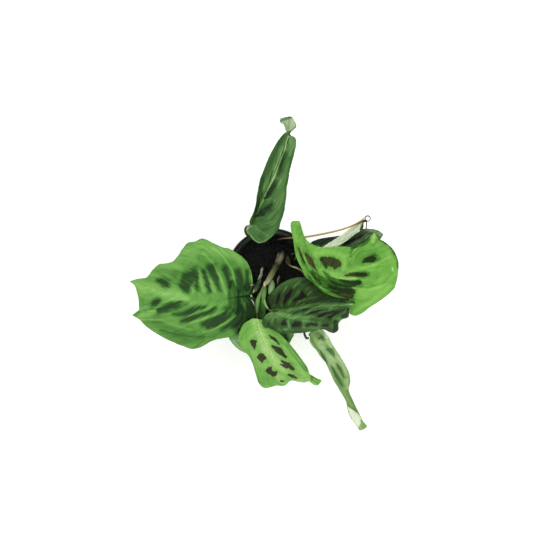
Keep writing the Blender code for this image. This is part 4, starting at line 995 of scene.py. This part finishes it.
def growStalk(name, shape):
    # radius·(1 + ridge·cos(ridges·angle) + lumps), so that fine ridges run along the stalk;
    # the lumps' seed is the length of its name
    shape = {"node": "petiole_" + name, "slot": "petiole", "ridge": 0.03, **shape}
    centre, radius, spread, at, angle = tubeRings(shape["path"])
    share = np.broadcast_to((at / at[-1])[:, None], spread.shape[:2])
    angle = angle + 0 * share
    swell = stalkMesh["uneven"] * lumps(at[:, None] + 0 * angle, angle * 2, stalkMesh["lump"], len(name))
    skin = 1 + shape["ridge"] * np.cos(stalkMesh["ridges"] * angle) + swell
    rings = centre[:, None] + spread * (radius[:, None] * skin)[..., None]
    way = np.stack([np.cos(angle), np.sin(angle), share], -1)
    material = stalkMaterial("stalkSkin_" + name, shape["hues"])
    piece = loft("stalk_" + name, rings, [material], {"stalkWay": way})
    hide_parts(shape["node"])


foot = 50.3    # millimetres over the floor: the stalks' feet stand in holes in the soil

# hues are (share of the length, colour) from the foot up, and a path is rows of (x, y, z, radius)
# on the stalks that rise from the soil, the dark hues near the foot are painted shade, where they stand in
# the pot under the leaves
stalks = dict(
    main=dict(
        node="stem_main", slot="woody_stem", ridge=0.08,
        # its pale stops at 0.46 and 0.95 are partly painted highlight along the stalk's lit side
        hues=[(0, "#2A241C"), (0.3, "#3A3226"), (0.38, "#6E6A56"), (0.46, "#8E8670"), (0.54, "#787058"),
              (0.6, "#343020"), (0.7, "#4E4E32"), (0.8, "#6E7048"), (0.88, "#7E8458"), (0.95, "#A4A47C"),
              (1, "#7A5C42")],
        path=((13, 26, foot, 2.3), (13, 26, 65, 2.3), (11, 20, 76, 2.5), (2, 4, 88, 3.0),
              (-4, -7, 94, 2.7), (-7.5, -12.5, 97, 1.3))),
    left=dict(
        hues=[(0, "#1A1812"), (0.44, "#2A241E"), (0.475, "#A89C90"), (0.51, "#332C28"), (0.55, "#8E967A"),
              (0.62, "#7E8A66"), (0.68, "#3E4A2C"), (0.8, "#2E3A24"), (0.9, "#3A4A2C"), (1, "#1E2A16")],
        path=((-8, 7, foot, 1.8), (-8, 7, 66, 1.8), (-11, 5, 82, 1.4), (-13, -5, 90, 1.3),
              (-18, -16, 94, 1.7), (-24.2, -23.2, 94.9, 1.5))),
    rear=dict(
        hues=[(0, "#181A12"), (0.6, "#20241A"), (0.8, "#383A2C"), (0.92, "#3E3E2E"), (0.96, "#8A947C"),
              (1, "#96A288")],
        path=((-2, 33, foot, 1.3), (-2, 33, 66, 1.3), (-8, 37, 82, 1.3), (-20, 41, 92.6, 1.3),
              (-27.2, 42.8, 95.4, 1.4), (-29.0, 46.4, 96.8, 1.3), (-28.7, 49.8, 98.6, 1.2),
              (-26.4, 52.2, 100.4, 1.1), (-23.4, 51.4, 102, 1.0))),
    front=dict(
        hues=[(0, "#4E6A38"), (0.3, "#6E9650"), (0.78, "#557A3C"), (0.87, "#33291E"), (1, "#463A2C")],
        path=((-9.1, -12.5, 97.4, 1.1), (-12.0, -20, 99.8, 1.2), (-14.9, -30, 101.5, 1.4),
              (-16.3, -41, 100.8, 1.2), (-16.2, -47.6, 99.2, 1.2))),
    middle=dict(
        # its pale stop at 0.88 is a painted highlight on the dark pulvinus
        hues=[(0, "#4E6A38"), (0.3, "#6E9650"), (0.6, "#7DAA5C"), (0.74, "#7DA65A"), (0.79, "#332A22"),
              (0.88, "#6A625A"), (1, "#403628")],
        path=((-6.8, -13.9, 97.4, 1.1), (-8.6, -21, 100.6, 1.4), (-8.6, -28, 102.4, 1.4),
              (-6, -35, 103, 1.1), (-2.6, -39, 102.6, 1.1), (2.2, -41, 102.2, 1.1))),
    lower=dict(
        hues=[(0, "#14150F"), (0.5, "#1C2016"), (0.7, "#2A3420"), (1, "#2A241C")],
        path=((3, 6, foot, 1.5), (3, 6, 66, 1.5), (2, -4, 82, 1.5), (1, -16, 89, 1.5),
              (0, -28, 92, 1.4), (-1, -37.4, 93.8, 1.3))),
    right=dict(
        hues=[(0, "#26221A"), (0.25, "#5E5644"), (0.45, "#4E4834"), (0.58, "#4A482E"), (0.68, "#6E7650"),
              (0.76, "#98A66C"), (0.84, "#6E7E48"), (1, "#3A4626")],
        path=((16, 17, foot, 1.5), (16, 17, 66, 1.4), (17, 12, 82, 1.2), (21, 8.6, 93.6, 0.9),
              (28, 5.9, 101, 0.8), (33, 2.6, 104.5, 0.8), (35.6, -2.4, 106.4, 0.8))),
    trailing=dict(
        hues=[(0, "#1E211A"), (0.8, "#20251C"), (1, "#3B4A32")],
        path=((8, -8, foot, 1.1), (8, -8, 64, 1.1), (12, -20, 80, 1.1), (18, -34, 88.5, 1.1),
              (25, -46, 92.3, 1.1), (31, -56, 92, 1.1), (35, -63, 90.5, 1.2),
              (36.4, -68, 87, 1.4), (38.6, -71, 84.2, 1.3), (41, -70.2, 82.9, 1.0))),
    back=dict(
        hues=[(0, "#10130D"), (0.7, "#161C12"), (1, "#1E2A1A")],
        path=((13, 35, foot, 1.2), (13, 35, 66, 1.2), (18, 36, 82, 1.2), (28, 33, 92, 1.2),
              (38.5, 30.2, 98.7, 1.1))),
    under=dict(
        hues=[(0, "#171C12"), (0.7, "#2E3C24"), (1, "#5E7A4A")],
        path=((-3, -12, foot, 1.0), (-3, -12, 64, 1.0), (-4, -26, 80, 1.0), (-7, -40, 89, 1.0),
              (-9.5, -49, 91.6, 1.0), (-10.8, -54, 90.6, 1.0), (-11, -56.6, 87.1, 1.0))),
    runner=dict(
        node="runner", slot="dry_stalk",
        hues=[(0, "#15100E"), (0.2, "#2A1E18"), (0.3, "#7A6256"), (0.42, "#8A7454"), (0.55, "#B39A5E"),
              (0.86, "#C4A864"), (0.93, "#8A6A3C"), (1, "#3E2A1E")],
        path=((4, 32, foot, 0.9), (4, 33, 62, 0.9), (4.4, 37.4, 71, 0.8), (10, 39, 81, 0.8),
              (20, 39.5, 91, 0.9), (34, 40, 98, 1.0), (56, 43.5, 106, 1.0), (80, 49.5, 114, 1.0),
              (98.6, 57.4, 116, 1.1))),
)
for name, shape in stalks.items():
    growStalk(name, shape)
print("stalks grown:", len(stalks))

ring = dict(
    centre=(101.6, 59.2, 114.8), radius=2.9, wire=0.62,    # millimetres
    start=230, turn=335, bends=16,                         # degrees, and points on the circle
    stalkEnd=(101.1, 48.4, 105.3), stalkPoints=4,
    hues=[(0, "#241C16"), (0.1, "#4A4644"), (0.28, "#3E3C3A"), (0.42, "#A09C9A"), (0.56, "#8A8684"),
          (0.66, "#2A1E18"), (1, "#3E2E24")],
)


def growRing():
    # most of a circle round the centre, then a straight stalk down from where it ends
    angle = np.radians(np.linspace(ring["start"], ring["start"] - ring["turn"], ring["bends"]))
    x, y, z = ring["centre"]
    circle = np.column_stack([x + ring["radius"] * np.cos(angle), y + ring["radius"] * np.sin(angle),
                              z + 0 * angle])
    stalk = np.linspace(circle[-1], ring["stalkEnd"], ring["stalkPoints"] + 1)[1:]
    path = np.concatenate([circle, stalk])
    path = np.column_stack([path, np.full(len(path), ring["wire"])])
    growStalk("ring", dict(node="runner_ring", slot="dry_stalk", hues=ring["hues"], path=path))


growRing()
print("ring closed")

sheathMesh = dict(rows=36, columns=17, wall=0.3, roughness=0.6)    # the wall in millimetres


# dry sheath: papery skin rolled round a stalk, with long fibres
def growSheath(name, shape):
    # centre + radius·(side·sin(wrap·s) + up·cos(wrap·s)), narrowing to a point at both ends
    path, total = pathOf(shape["path"])
    at = np.linspace(0, total, sheathMesh["rows"])
    path = through(path, at)
    centre, radius = path[:, :3], path[:, 3]
    ahead = unit(np.gradient(centre, axis=0))
    side = unit(np.cross(ahead, (0, 0, 1.0)))
    up = np.cross(side, ahead)
    s = np.linspace(-1, 1, sheathMesh["columns"])[None, :]
    taper = np.sqrt(np.clip(1 - (2 * at / at[-1] - 1) ** 2, 0, 1))[:, None]
    angle = np.radians(shape["wrap"]) * s * taper
    spread = side[:, None] * np.sin(angle)[..., None] + up[:, None] * np.cos(angle)[..., None]
    wall = sheathMesh["wall"] * np.sqrt(np.clip(1 - s**4, 0, 1)) / 2
    sheet = centre[:, None] + (spread - up[:, None]) * radius[:, None, None]
    rings = roundSheet(sheet + spread * wall[..., None], sheet - spread * wall[..., None])
    rings[0], rings[-1] = centre[0], centre[-1]
    share = np.broadcast_to((at / at[-1])[:, None], rings.shape[:2])
    turn = roundSheet(s, s) * 2 + 0 * share
    material = stalkMaterial("sheathSkin_" + name, shape["hues"], sheathMesh["roughness"])
    piece = loft("sheath_" + name, rings, [material], {"stalkWay": np.stack([turn, turn, share], -1)})


# wrap is how far a sheath reaches round to each side, in degrees
sheaths = dict(
    lens=dict(wrap=70, hues=[(0, "#5E784A"), (0.5, "#80A068"), (1, "#90AE78")],
              path=((0.2, -6.4, 93.5, 2.8), (-0.6, -14.3, 96.4, 3.9), (-2.8, -22.6, 96.8, 2.4))),
    front=dict(wrap=95, hues=[(0, "#4E6C38"), (0.45, "#6C984E"), (1, "#4A7034")],
               path=((-12.4, -19, 100.0, 1.5), (-15.4, -29, 103.0, 2.2), (-16.6, -41, 102.6, 1.1))),
    middle=dict(wrap=95, hues=[(0, "#4E6C38"), (0.5, "#648C48"), (1, "#50763A")],
                path=((-7.6, -12, 98.6, 2.2), (-9.0, -22, 103.2, 2.6), (-9.8, -32.5, 104.0, 1.2))),
    point=dict(wrap=60, hues=[(0, "#9FB488"), (0.5, "#C8D6B4"), (1, "#A4B890")],
               path=((-22.8, -27.2, 98.8, 0.4), (-20.8, -29.6, 99.6, 0.5), (-18.8, -34.4, 99.6, 0.35))),
    bract=dict(wrap=80, hues=[(0, "#7E7A50"), (0.6, "#C2C294"), (1, "#9A7A5C")],
               path=((-5.6, -6.5, 96.6, 1.5), (-8.0, -11, 99.0, 1.4), (-8.0, -15.5, 99.6, 0.8))),
    dry=dict(wrap=75, hues=[(0, "#606256"), (0.3, "#4C483C"), (0.5, "#302622"), (1, "#1E1816")],
             path=((8.2, -1.6, 84, 1.1), (6.6, -8, 87, 2.2), (4.2, -14.8, 88, 1.0))),
    peel=dict(wrap=50, hues=[(0, "#6E6C5C"), (0.5, "#8A8A76"), (1, "#5C5A4A")],
              path=((8.6, -2.2, 86, 0.6), (6.4, -5.4, 88.6, 0.7), (6.2, -11, 89.4, 0.5))),
    cuff=dict(wrap=120, hues=[(0, "#2E281E"), (0.35, "#6A5E48"), (0.6, "#4A4230"), (1, "#3E3826")],
              path=((16.7, 22.5, 66, 1.3), (17.8, 17.2, 74, 2.0), (19.6, 11, 85, 1.1))),
    husk=dict(wrap=110, hues=[(0, "#5A5040"), (0.3, "#84765C"), (0.5, "#564838"), (0.7, "#8A7A60"),
                              (1, "#2E261C")],
              path=((7.9, 24.3, 76, 1.0), (6.2, 17.6, 80, 1.4), (3.9, 11.0, 84, 0.8))),
    shoulder=dict(wrap=80, hues=[(0, "#56744A"), (0.5, "#5E8A4A"), (1, "#7E9C6A")],
                  path=((-24.2, 53.2, 98.6, 0.8), (-25.6, 47.6, 99.2, 3.0), (-24.0, 42.4, 98.0, 1.3))),
    stub=dict(wrap=110, hues=[(0, "#6E625A"), (0.3, "#B4B4A0"), (0.7, "#8E9A78"), (1, "#44523A")],
              path=((-10.8, 2.6, 85.6, 1.0), (-12.6, -2.4, 89.8, 1.6), (-15.4, -7, 92.6, 0.9))),
    bud=dict(wrap=150, hues=[(0, "#8F6E66"), (0.5, "#E6D8D0"), (1, "#A08078")],
             path=((-13.0, 3.6, 83.6, 0.7), (-11.4, 4.2, 85.2, 1.0), (-9.8, 3.2, 83.6, 0.6))),
    fold=dict(wrap=80, hues=[(0, "#55633F"), (0.4, "#2E3C24"), (0.7, "#3E4E30"), (1, "#6A7E58")],
              path=((-12.6, -6, 91.5, 2.2), (-15.8, -12.8, 95, 3.4), (-20, -19.4, 96.4, 2.4))),
    knot=dict(wrap=150, hues=[(0, "#4A3222"), (0.5, "#2A1C14"), (1, "#33261E")],
              path=((96.8, 55.6, 115.8, 0.8), (99.3, 56.8, 116.3, 1.4), (101.6, 56.2, 114.8, 0.7))),
    knob=dict(wrap=170, hues=[(0, "#9A9274"), (0.4, "#8E866A"), (0.65, "#453929"), (1, "#29201A")],
              path=((-23.7, -11.6, 99.8, 0.7), (-22.2, -11.8, 100.7, 0.9), (-18.0, -11.2, 96.6, 0.45))),
    tuft=dict(wrap=120, hues=[(0, "#6E8A62"), (0.5, "#8FAA82"), (1, "#56704A")],
              path=((-19.2, -16.8, 97.8, 0.6), (-19.8, -18.6, 98.4, 0.9), (-20.4, -20.8, 98.0, 0.5))),
    pearl=dict(wrap=160, hues=[(0, "#7A926A"), (0.5, "#B2C4A4"), (1, "#7E966E")],
               path=((-22.8, -22.2, 97.4, 0.6), (-22.4, -23.8, 98.0, 0.9), (-21.8, -25.4, 97.8, 0.5))),
    collar=dict(wrap=100, hues=[(0, "#4E6640"), (0.45, "#A9BC96"), (1, "#6E8460")],
                path=((-27.6, 45.0, 97.4, 1.0), (-26.8, 48.4, 99.4, 1.7), (-24.8, 51.6, 101.2, 1.4),
                      (-23.2, 54.6, 102.2, 0.6))),
    shoot=dict(wrap=130, hues=[(0, "#1E2418"), (0.6, "#54704A"), (1, "#7E9C74")],
               path=((24.5, 14.5, 60.4, 1.2), (25.8, 15.8, 67, 1.5), (26.6, 18.4, 71, 0.7))),
    curl=dict(wrap=120, hues=[(0, "#2E2820"), (0.5, "#5E5648"), (1, "#3A342A")],
              path=((22.0, 17.6, 64, 0.6), (23.2, 22.6, 72, 0.8), (28, 21.6, 71, 0.5))),
)
for name, shape in sheaths.items():
    growSheath(name, shape)
print("sheaths rolled:", len(sheaths))

potShape = dict(
    height=90.0, rim=50.0, base=36.0, bodyTop=47.6,   # millimetres, radii outside
    lip=11.0, taper=0.7, wall=1.2, floor=1.6,         # the lip's height and slant, the plastic's thickness
    holes=8, holeRadius=3.5, holeCircle=26.0, holeTurn=0.46, holeSides=40,
    foot=((-6.4, 0.6), (-5.6, 0.5), (-5, 0.05), (-1.2, 0), (-0.4, 0.15)),    # out from the base, and up
    around=192, rimSteps=9,
    sharp=50,                                         # degrees over which an edge stays crisp
    dust=11.11, grain=0.4, relief=0.1,                # millimetres: dusty patches, moulded grain, its depth
)

soil = dict(
    level=61.0, floor=1.9, gap=0.3, middle=30,    # millimetres: heights, and the gap to the wall
    swell=1.3, mounds=(3.4, 5.2),                 # millimetres: how high the low mounds are, and how long
    rough=((0.9, 4.1, 11), (0.55, 1.9, 12), (0.25, 0.9, 13)),    # lumps: height, size, seed
    rings=110, around=220,
    margin=3.5,                                   # millimetres off the wall that crumbs stay
    chips=620, chipSize=(0.7, 2.3),               # bark and fibre crumbs, half lengths in millimetres
    grains=10, grainSize=(0.4, 0.8),              # pale perlite grains
    peat=1.111, bark=2, perlite=1.429,            # millimetres: how coarse each one's pattern is
    relief=0.6,                                   # millimetres that the pattern stands up
)
crumb = dict(rings=6, around=8, rough=0.22, lean=0.35, flat=0.8)    # points on one, and how uneven it is


def wallRadius(height):
    # the pot's outside: straight from its base radius to the one at its top
    return potShape["base"] + (potShape["bodyTop"] - potShape["base"]) * height / potShape["height"]


def soilHeight(x, y):
    # low mounds of sines, then three sizes of lumps, all fading out at the wall
    short, long = soil["mounds"]
    low = np.sin(x / short + 1.0) * np.cos(y / short) + 0.6 * np.sin((x + 2 * y) / long)
    rough = sum(height * lumps(x, y, size, seed) for height, size, seed in soil["rough"])
    fade = 1 - np.minimum(np.hypot(x, y) / wallRadius(soil["level"]), 1) ** 4
    return soil["level"] + (soil["swell"] * low + rough) * fade


# moist potting mix: matt black-brown peat and bark, with a faint sparkle of damp grains
def soilMaterial(name, dark, light, coarse):
    material, tree, shader = startMaterial(name, 1.4, roughness=0.88)
    place = addNode(tree, "ShaderNodeTexCoord", output=3)
    grain = addNode(tree, "ShaderNodeTexNoise", None,
                    {"Vector": place, "Scale": 1 / (coarse * mm), "Detail": 6, "Roughness": 0.65})
    colour = addNode(tree, "ShaderNodeValToRGB", None, {0: grain}, stops=[(0.38, dark), (0.72, light)])
    tree.links.new(colour, shader.inputs["Base Color"])
    bump = addNode(tree, "ShaderNodeBump", None,
                   {"Strength": 0.8, "Distance": soil["relief"] * mm, "Height": grain})
    tree.links.new(bump, shader.inputs["Normal"])
    return material


def fillSoil():
    # one skin of rings round the axis: up the wall, then in over the uneven top to the middle
    inset = potShape["wall"] + soil["gap"]
    top = np.linspace(wallRadius(soil["level"]) - inset, 0, soil["rings"])
    low, middle = soil["floor"], soil["middle"]
    radii = np.concatenate([[0, wallRadius(low) - inset, wallRadius(middle) - inset], top])
    heights = np.concatenate([[low, low, middle], np.full(len(top), soil["level"])])
    angle = np.linspace(0, 2 * np.pi, soil["around"], endpoint=False)[None, :]
    x, y = radii[:, None] * np.cos(angle), radii[:, None] * np.sin(angle)
    z = np.broadcast_to(heights[:, None], x.shape).copy()
    z[4:] = soilHeight(x[4:], y[4:])
    mix = soilMaterial("pottingMix", "#0C0C0C", "#211F1F", soil["peat"])
    piece = loft("soilFill", np.stack([x, y, z], -1), [mix])
    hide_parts("soil")


def scatter(name, count, sizes, squash, seed, material, sink):
    # ellipsoids on the soil, stretched, turned and roughened by seeded random numbers:
    # (size·sin v·cos a, size·squash·sin v·sin a, size·squash·flat·cos v), leaned, then turned
    rng = np.random.default_rng(seed)
    rings, around = crumb["rings"], crumb["around"]
    far = (wallRadius(soil["level"]) - soil["margin"]) * np.sqrt(rng.random(count))
    angle = rng.random(count) * 2 * np.pi
    x, y = far * np.cos(angle), far * np.sin(angle)
    size = sizes[0] + (sizes[1] - sizes[0]) * rng.random((count, 1, 1)) ** 2
    v = np.linspace(0, np.pi, rings)[None, :, None]
    a = np.linspace(0, 2 * np.pi, around, endpoint=False)[None, None, :]
    rough = 1 + crumb["rough"] * (rng.random((count, rings, around)) - 0.5) * np.sin(v)
    turn, tilt = rng.random((2, count, 1, 1)) * 2 * np.pi
    p = size * rough * np.sin(v) * np.cos(a)
    q = size * squash * rough * np.sin(v) * np.sin(a)
    r = size * squash * crumb["flat"] * rough * np.cos(v)
    lean = crumb["lean"] * np.sin(tilt)
    q, r = q * np.cos(lean) - r * np.sin(lean), q * np.sin(lean) + r * np.cos(lean)
    z = soilHeight(x, y) + sink * size[:, 0, 0]
    points = np.stack([x[:, None, None] + p * np.cos(turn) - q * np.sin(turn),
                       y[:, None, None] + p * np.sin(turn) + q * np.cos(turn),
                       z[:, None, None] + r], -1).reshape(-1, 3) * mm
    grid = np.arange(rings - 1)[:, None] * around + np.arange(around)
    ahead = np.roll(grid, -1, axis=1)
    quads = np.stack([grid, grid + around, ahead + around, ahead], -1).reshape(-1, 4)
    faces = (quads[None] + (np.arange(count) * rings * around)[:, None, None]).reshape(-1, 4)
    mesh = bpy.data.meshes.new(name)
    mesh.from_pydata(points.tolist(), [], faces.tolist())
    mesh.shade_smooth()
    piece = addPiece(name, mesh, [material])


fillSoil()
scatter("barkCrumbs", soil["chips"], soil["chipSize"], 0.5, 21,
        soilMaterial("barkCrumb", "#141111", "#2E2725", soil["bark"]), 0.1)
scatter("perliteGrains", soil["grains"], soil["grainSize"], 0.85, 22,
        soilMaterial("perlite", "#3E3A36", "#8A857C", soil["perlite"]), 0.3)
print("soil filled")


# polypropylene: injection moulded in black, satin, with a faint dusty bloom
def potMaterial():
    material, tree, shader = startMaterial("blackPolypropylene", 1.49, 0.3)
    place = addNode(tree, "ShaderNodeTexCoord", output=3)
    dust = addNode(tree, "ShaderNodeTexNoise", None,
                   {"Vector": place, "Scale": 1 / (potShape["dust"] * mm), "Detail": 5})
    colour = addNode(tree, "ShaderNodeValToRGB", None, {0: dust},
                     stops=[(0.35, "#282F26"), (0.8, "#383F34")])
    tree.links.new(colour, shader.inputs["Base Color"])
    polish = addNode(tree, "ShaderNodeMapRange", None, {"Value": dust, "To Min": 0.32, "To Max": 0.55})
    tree.links.new(polish, shader.inputs["Roughness"])
    grain = addNode(tree, "ShaderNodeTexNoise", None,
                    {"Vector": place, "Scale": 1 / (potShape["grain"] * mm), "Detail": 2})
    bump = addNode(tree, "ShaderNodeBump", None,
                   {"Strength": 0.15, "Distance": potShape["relief"] * mm, "Height": grain})
    tree.links.new(bump, shader.inputs["Normal"])
    return material


def potProfile():
    # (radius, height) in millimetres: under the foot, up the outside, over the rolled rim, down inside;
    # the small numbers beside a named one are how far a corner's points lie from it
    p = potShape
    lipFoot, skirt = p["height"] - p["lip"], p["rim"] - p["taper"]
    roll = p["wall"] / 2
    corner = np.radians(np.linspace(0, 180, p["rimSteps"]))
    under = [(0, 0.6)] + [(p["base"] + out, up) for out, up in p["foot"]]
    outside = [(wallRadius(h), h) for h in (0.9, 30, 60, lipFoot - 3.2, lipFoot - 1.6)]
    lip = [(wallRadius(lipFoot) + 0.4, lipFoot - 1.1), (skirt - 0.5, lipFoot - 0.5),
           (skirt - 0.1, lipFoot - 0.1), (skirt, lipFoot + 0.5), (p["rim"] - 0.3, p["height"] - 4)]
    rim = [(p["rim"] - roll + roll * np.cos(a), p["height"] - roll + roll * np.sin(a)) for a in corner]
    behind = [(skirt - p["wall"], lipFoot + 1.4), (skirt - p["wall"] - 0.5, lipFoot + 0.6),
              (wallRadius(lipFoot) - p["wall"], lipFoot - 0.6)]
    inside = [(wallRadius(h) - p["wall"], h) for h in (60, 30, 2.6)]
    bottom = [(wallRadius(1.7) - p["wall"] - 0.8, 1.75), (p["base"] - 3, p["floor"]), (0, p["floor"])]
    return np.array(under + outside + lip + rim + behind + inside + bottom)


def lathe(name, radii, heights, around, middle=(0, 0), materials=()):
    # points (x + radius·cos a, y + radius·sin a, height), on rings round an upright axis
    angle = np.linspace(0, 2 * np.pi, around, endpoint=False)[None, :]
    radii, heights = np.array(radii)[:, None], np.array(heights)[:, None]
    rings = np.stack([middle[0] + radii * np.cos(angle), middle[1] + radii * np.sin(angle),
                      heights + 0 * angle], -1)
    return loft(name, rings, materials)


def mouldPot():
    # the profile turned round the axis, then its drain holes cut by upright cylinders
    p = potShape
    pot = lathe("potShell", *potProfile().T, p["around"], materials=[potMaterial()])
    r, low, high = p["holeRadius"], -p["floor"], 2 * p["floor"]
    drills = []
    for number in range(p["holes"]):
        a = 2 * np.pi * (number + p["holeTurn"]) / p["holes"]
        middle = p["holeCircle"] * np.cos(a), p["holeCircle"] * np.sin(a)
        drill = lathe("drill%d" % number, (0, r, r, 0), (low, low, high, high), p["holeSides"], middle)
        hole = pot.modifiers.new(drill.name, "BOOLEAN")
        hole.operation, hole.solver, hole.object = "DIFFERENCE", "EXACT", drill
        drills.append(drill)
    drilled = bpy.data.meshes.new_from_object(pot.evaluated_get(bpy.context.evaluated_depsgraph_get()))
    pot.modifiers.clear()
    pot.data = drilled
    for drill in drills:
        bpy.data.objects.remove(drill, do_unlink=True)
    pot.data.shade_smooth()
    pot.data.set_sharp_from_angle(angle=np.radians(p["sharp"]))
    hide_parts("pot")


mouldPot()
print("pot moulded")

studio = dict(
    floor="#FBFBFA", floorReach=4,    # metres
    glow=0.22, world="#FFFFFF", worldStrength=0.78,
    aim=(0, 0, 0.09),                 # metres: the lamps face the pot's rim
    lamps=(
        dict(place=(-0.7, 0.7, 1.1), size=1.0, power=6.4),
        dict(place=(0.9, 0.3, 0.9), size=0.8, power=3.2),
        dict(place=(0.0, -1.0, 0.8), size=0.8, power=2.6),
    ),
)


# opal acrylic: cast, lit a little from below, which gives the white ground with hardly a shadow
def floorMaterial():
    material, tree, shader = startMaterial("litOpalAcrylic", 1.49, roughness=0.9)
    shader.inputs["Base Color"].default_value = linear(studio["floor"])
    shader.inputs["Emission Color"].default_value = linear(studio["floor"])
    shader.inputs["Emission Strength"].default_value = studio["glow"]
    return material


def setStudio():
    # a flat square floor, an even white sky, and square lamps turned to face the plant
    r = studio["floorReach"]
    mesh = bpy.data.meshes.new("floor")
    mesh.from_pydata([(-r, -r, 0), (r, -r, 0), (r, r, 0), (-r, r, 0)], [], [(0, 1, 2, 3)])
    mesh.materials.append(floorMaterial())
    floor = bpy.data.objects.new("floor", mesh)
    bpy.context.scene.collection.objects.link(floor)
    world = bpy.data.worlds.new("studio")
    bpy.context.scene.world = world
    world.use_nodes = True
    sky = world.node_tree.nodes["Background"]
    sky.inputs["Color"].default_value = linear(studio["world"])
    sky.inputs["Strength"].default_value = studio["worldStrength"]
    for number, lamp in enumerate(studio["lamps"]):
        light = bpy.data.lights.new("softbox%d" % number, "AREA")
        light.size, light.energy = lamp["size"], lamp["power"]
        box = bpy.data.objects.new(light.name, light)
        box.location = lamp["place"]
        away = np.array(lamp["place"]) - studio["aim"]
        lean = np.arctan2(np.hypot(away[0], away[1]), away[2])
        box.rotation_euler = (0, lean, np.arctan2(away[1], away[0]))
        bpy.context.scene.collection.objects.link(box)


def setCamera():
    # straight over its axis; the lens is sensor·distance / width, which takes in the photograph's
    # width at the rim
    lens = bpy.data.cameras.new("camera")
    width = 2 * photo["middle"] * photo["pixel"]
    lens.lens = lens.sensor_width * photo["distance"] / width
    camera = bpy.data.objects.new("camera", lens)
    camera.location = (photo["axis"][0] * mm, photo["axis"][1] * mm,
                       (photo["rim"] + photo["distance"]) * mm)
    bpy.context.scene.collection.objects.link(camera)
    bpy.context.scene.camera = camera


setStudio()
setCamera()
bpy.context.scene.view_settings.view_transform = "Standard"    # colours as they are, with no film curve
print("studio set")
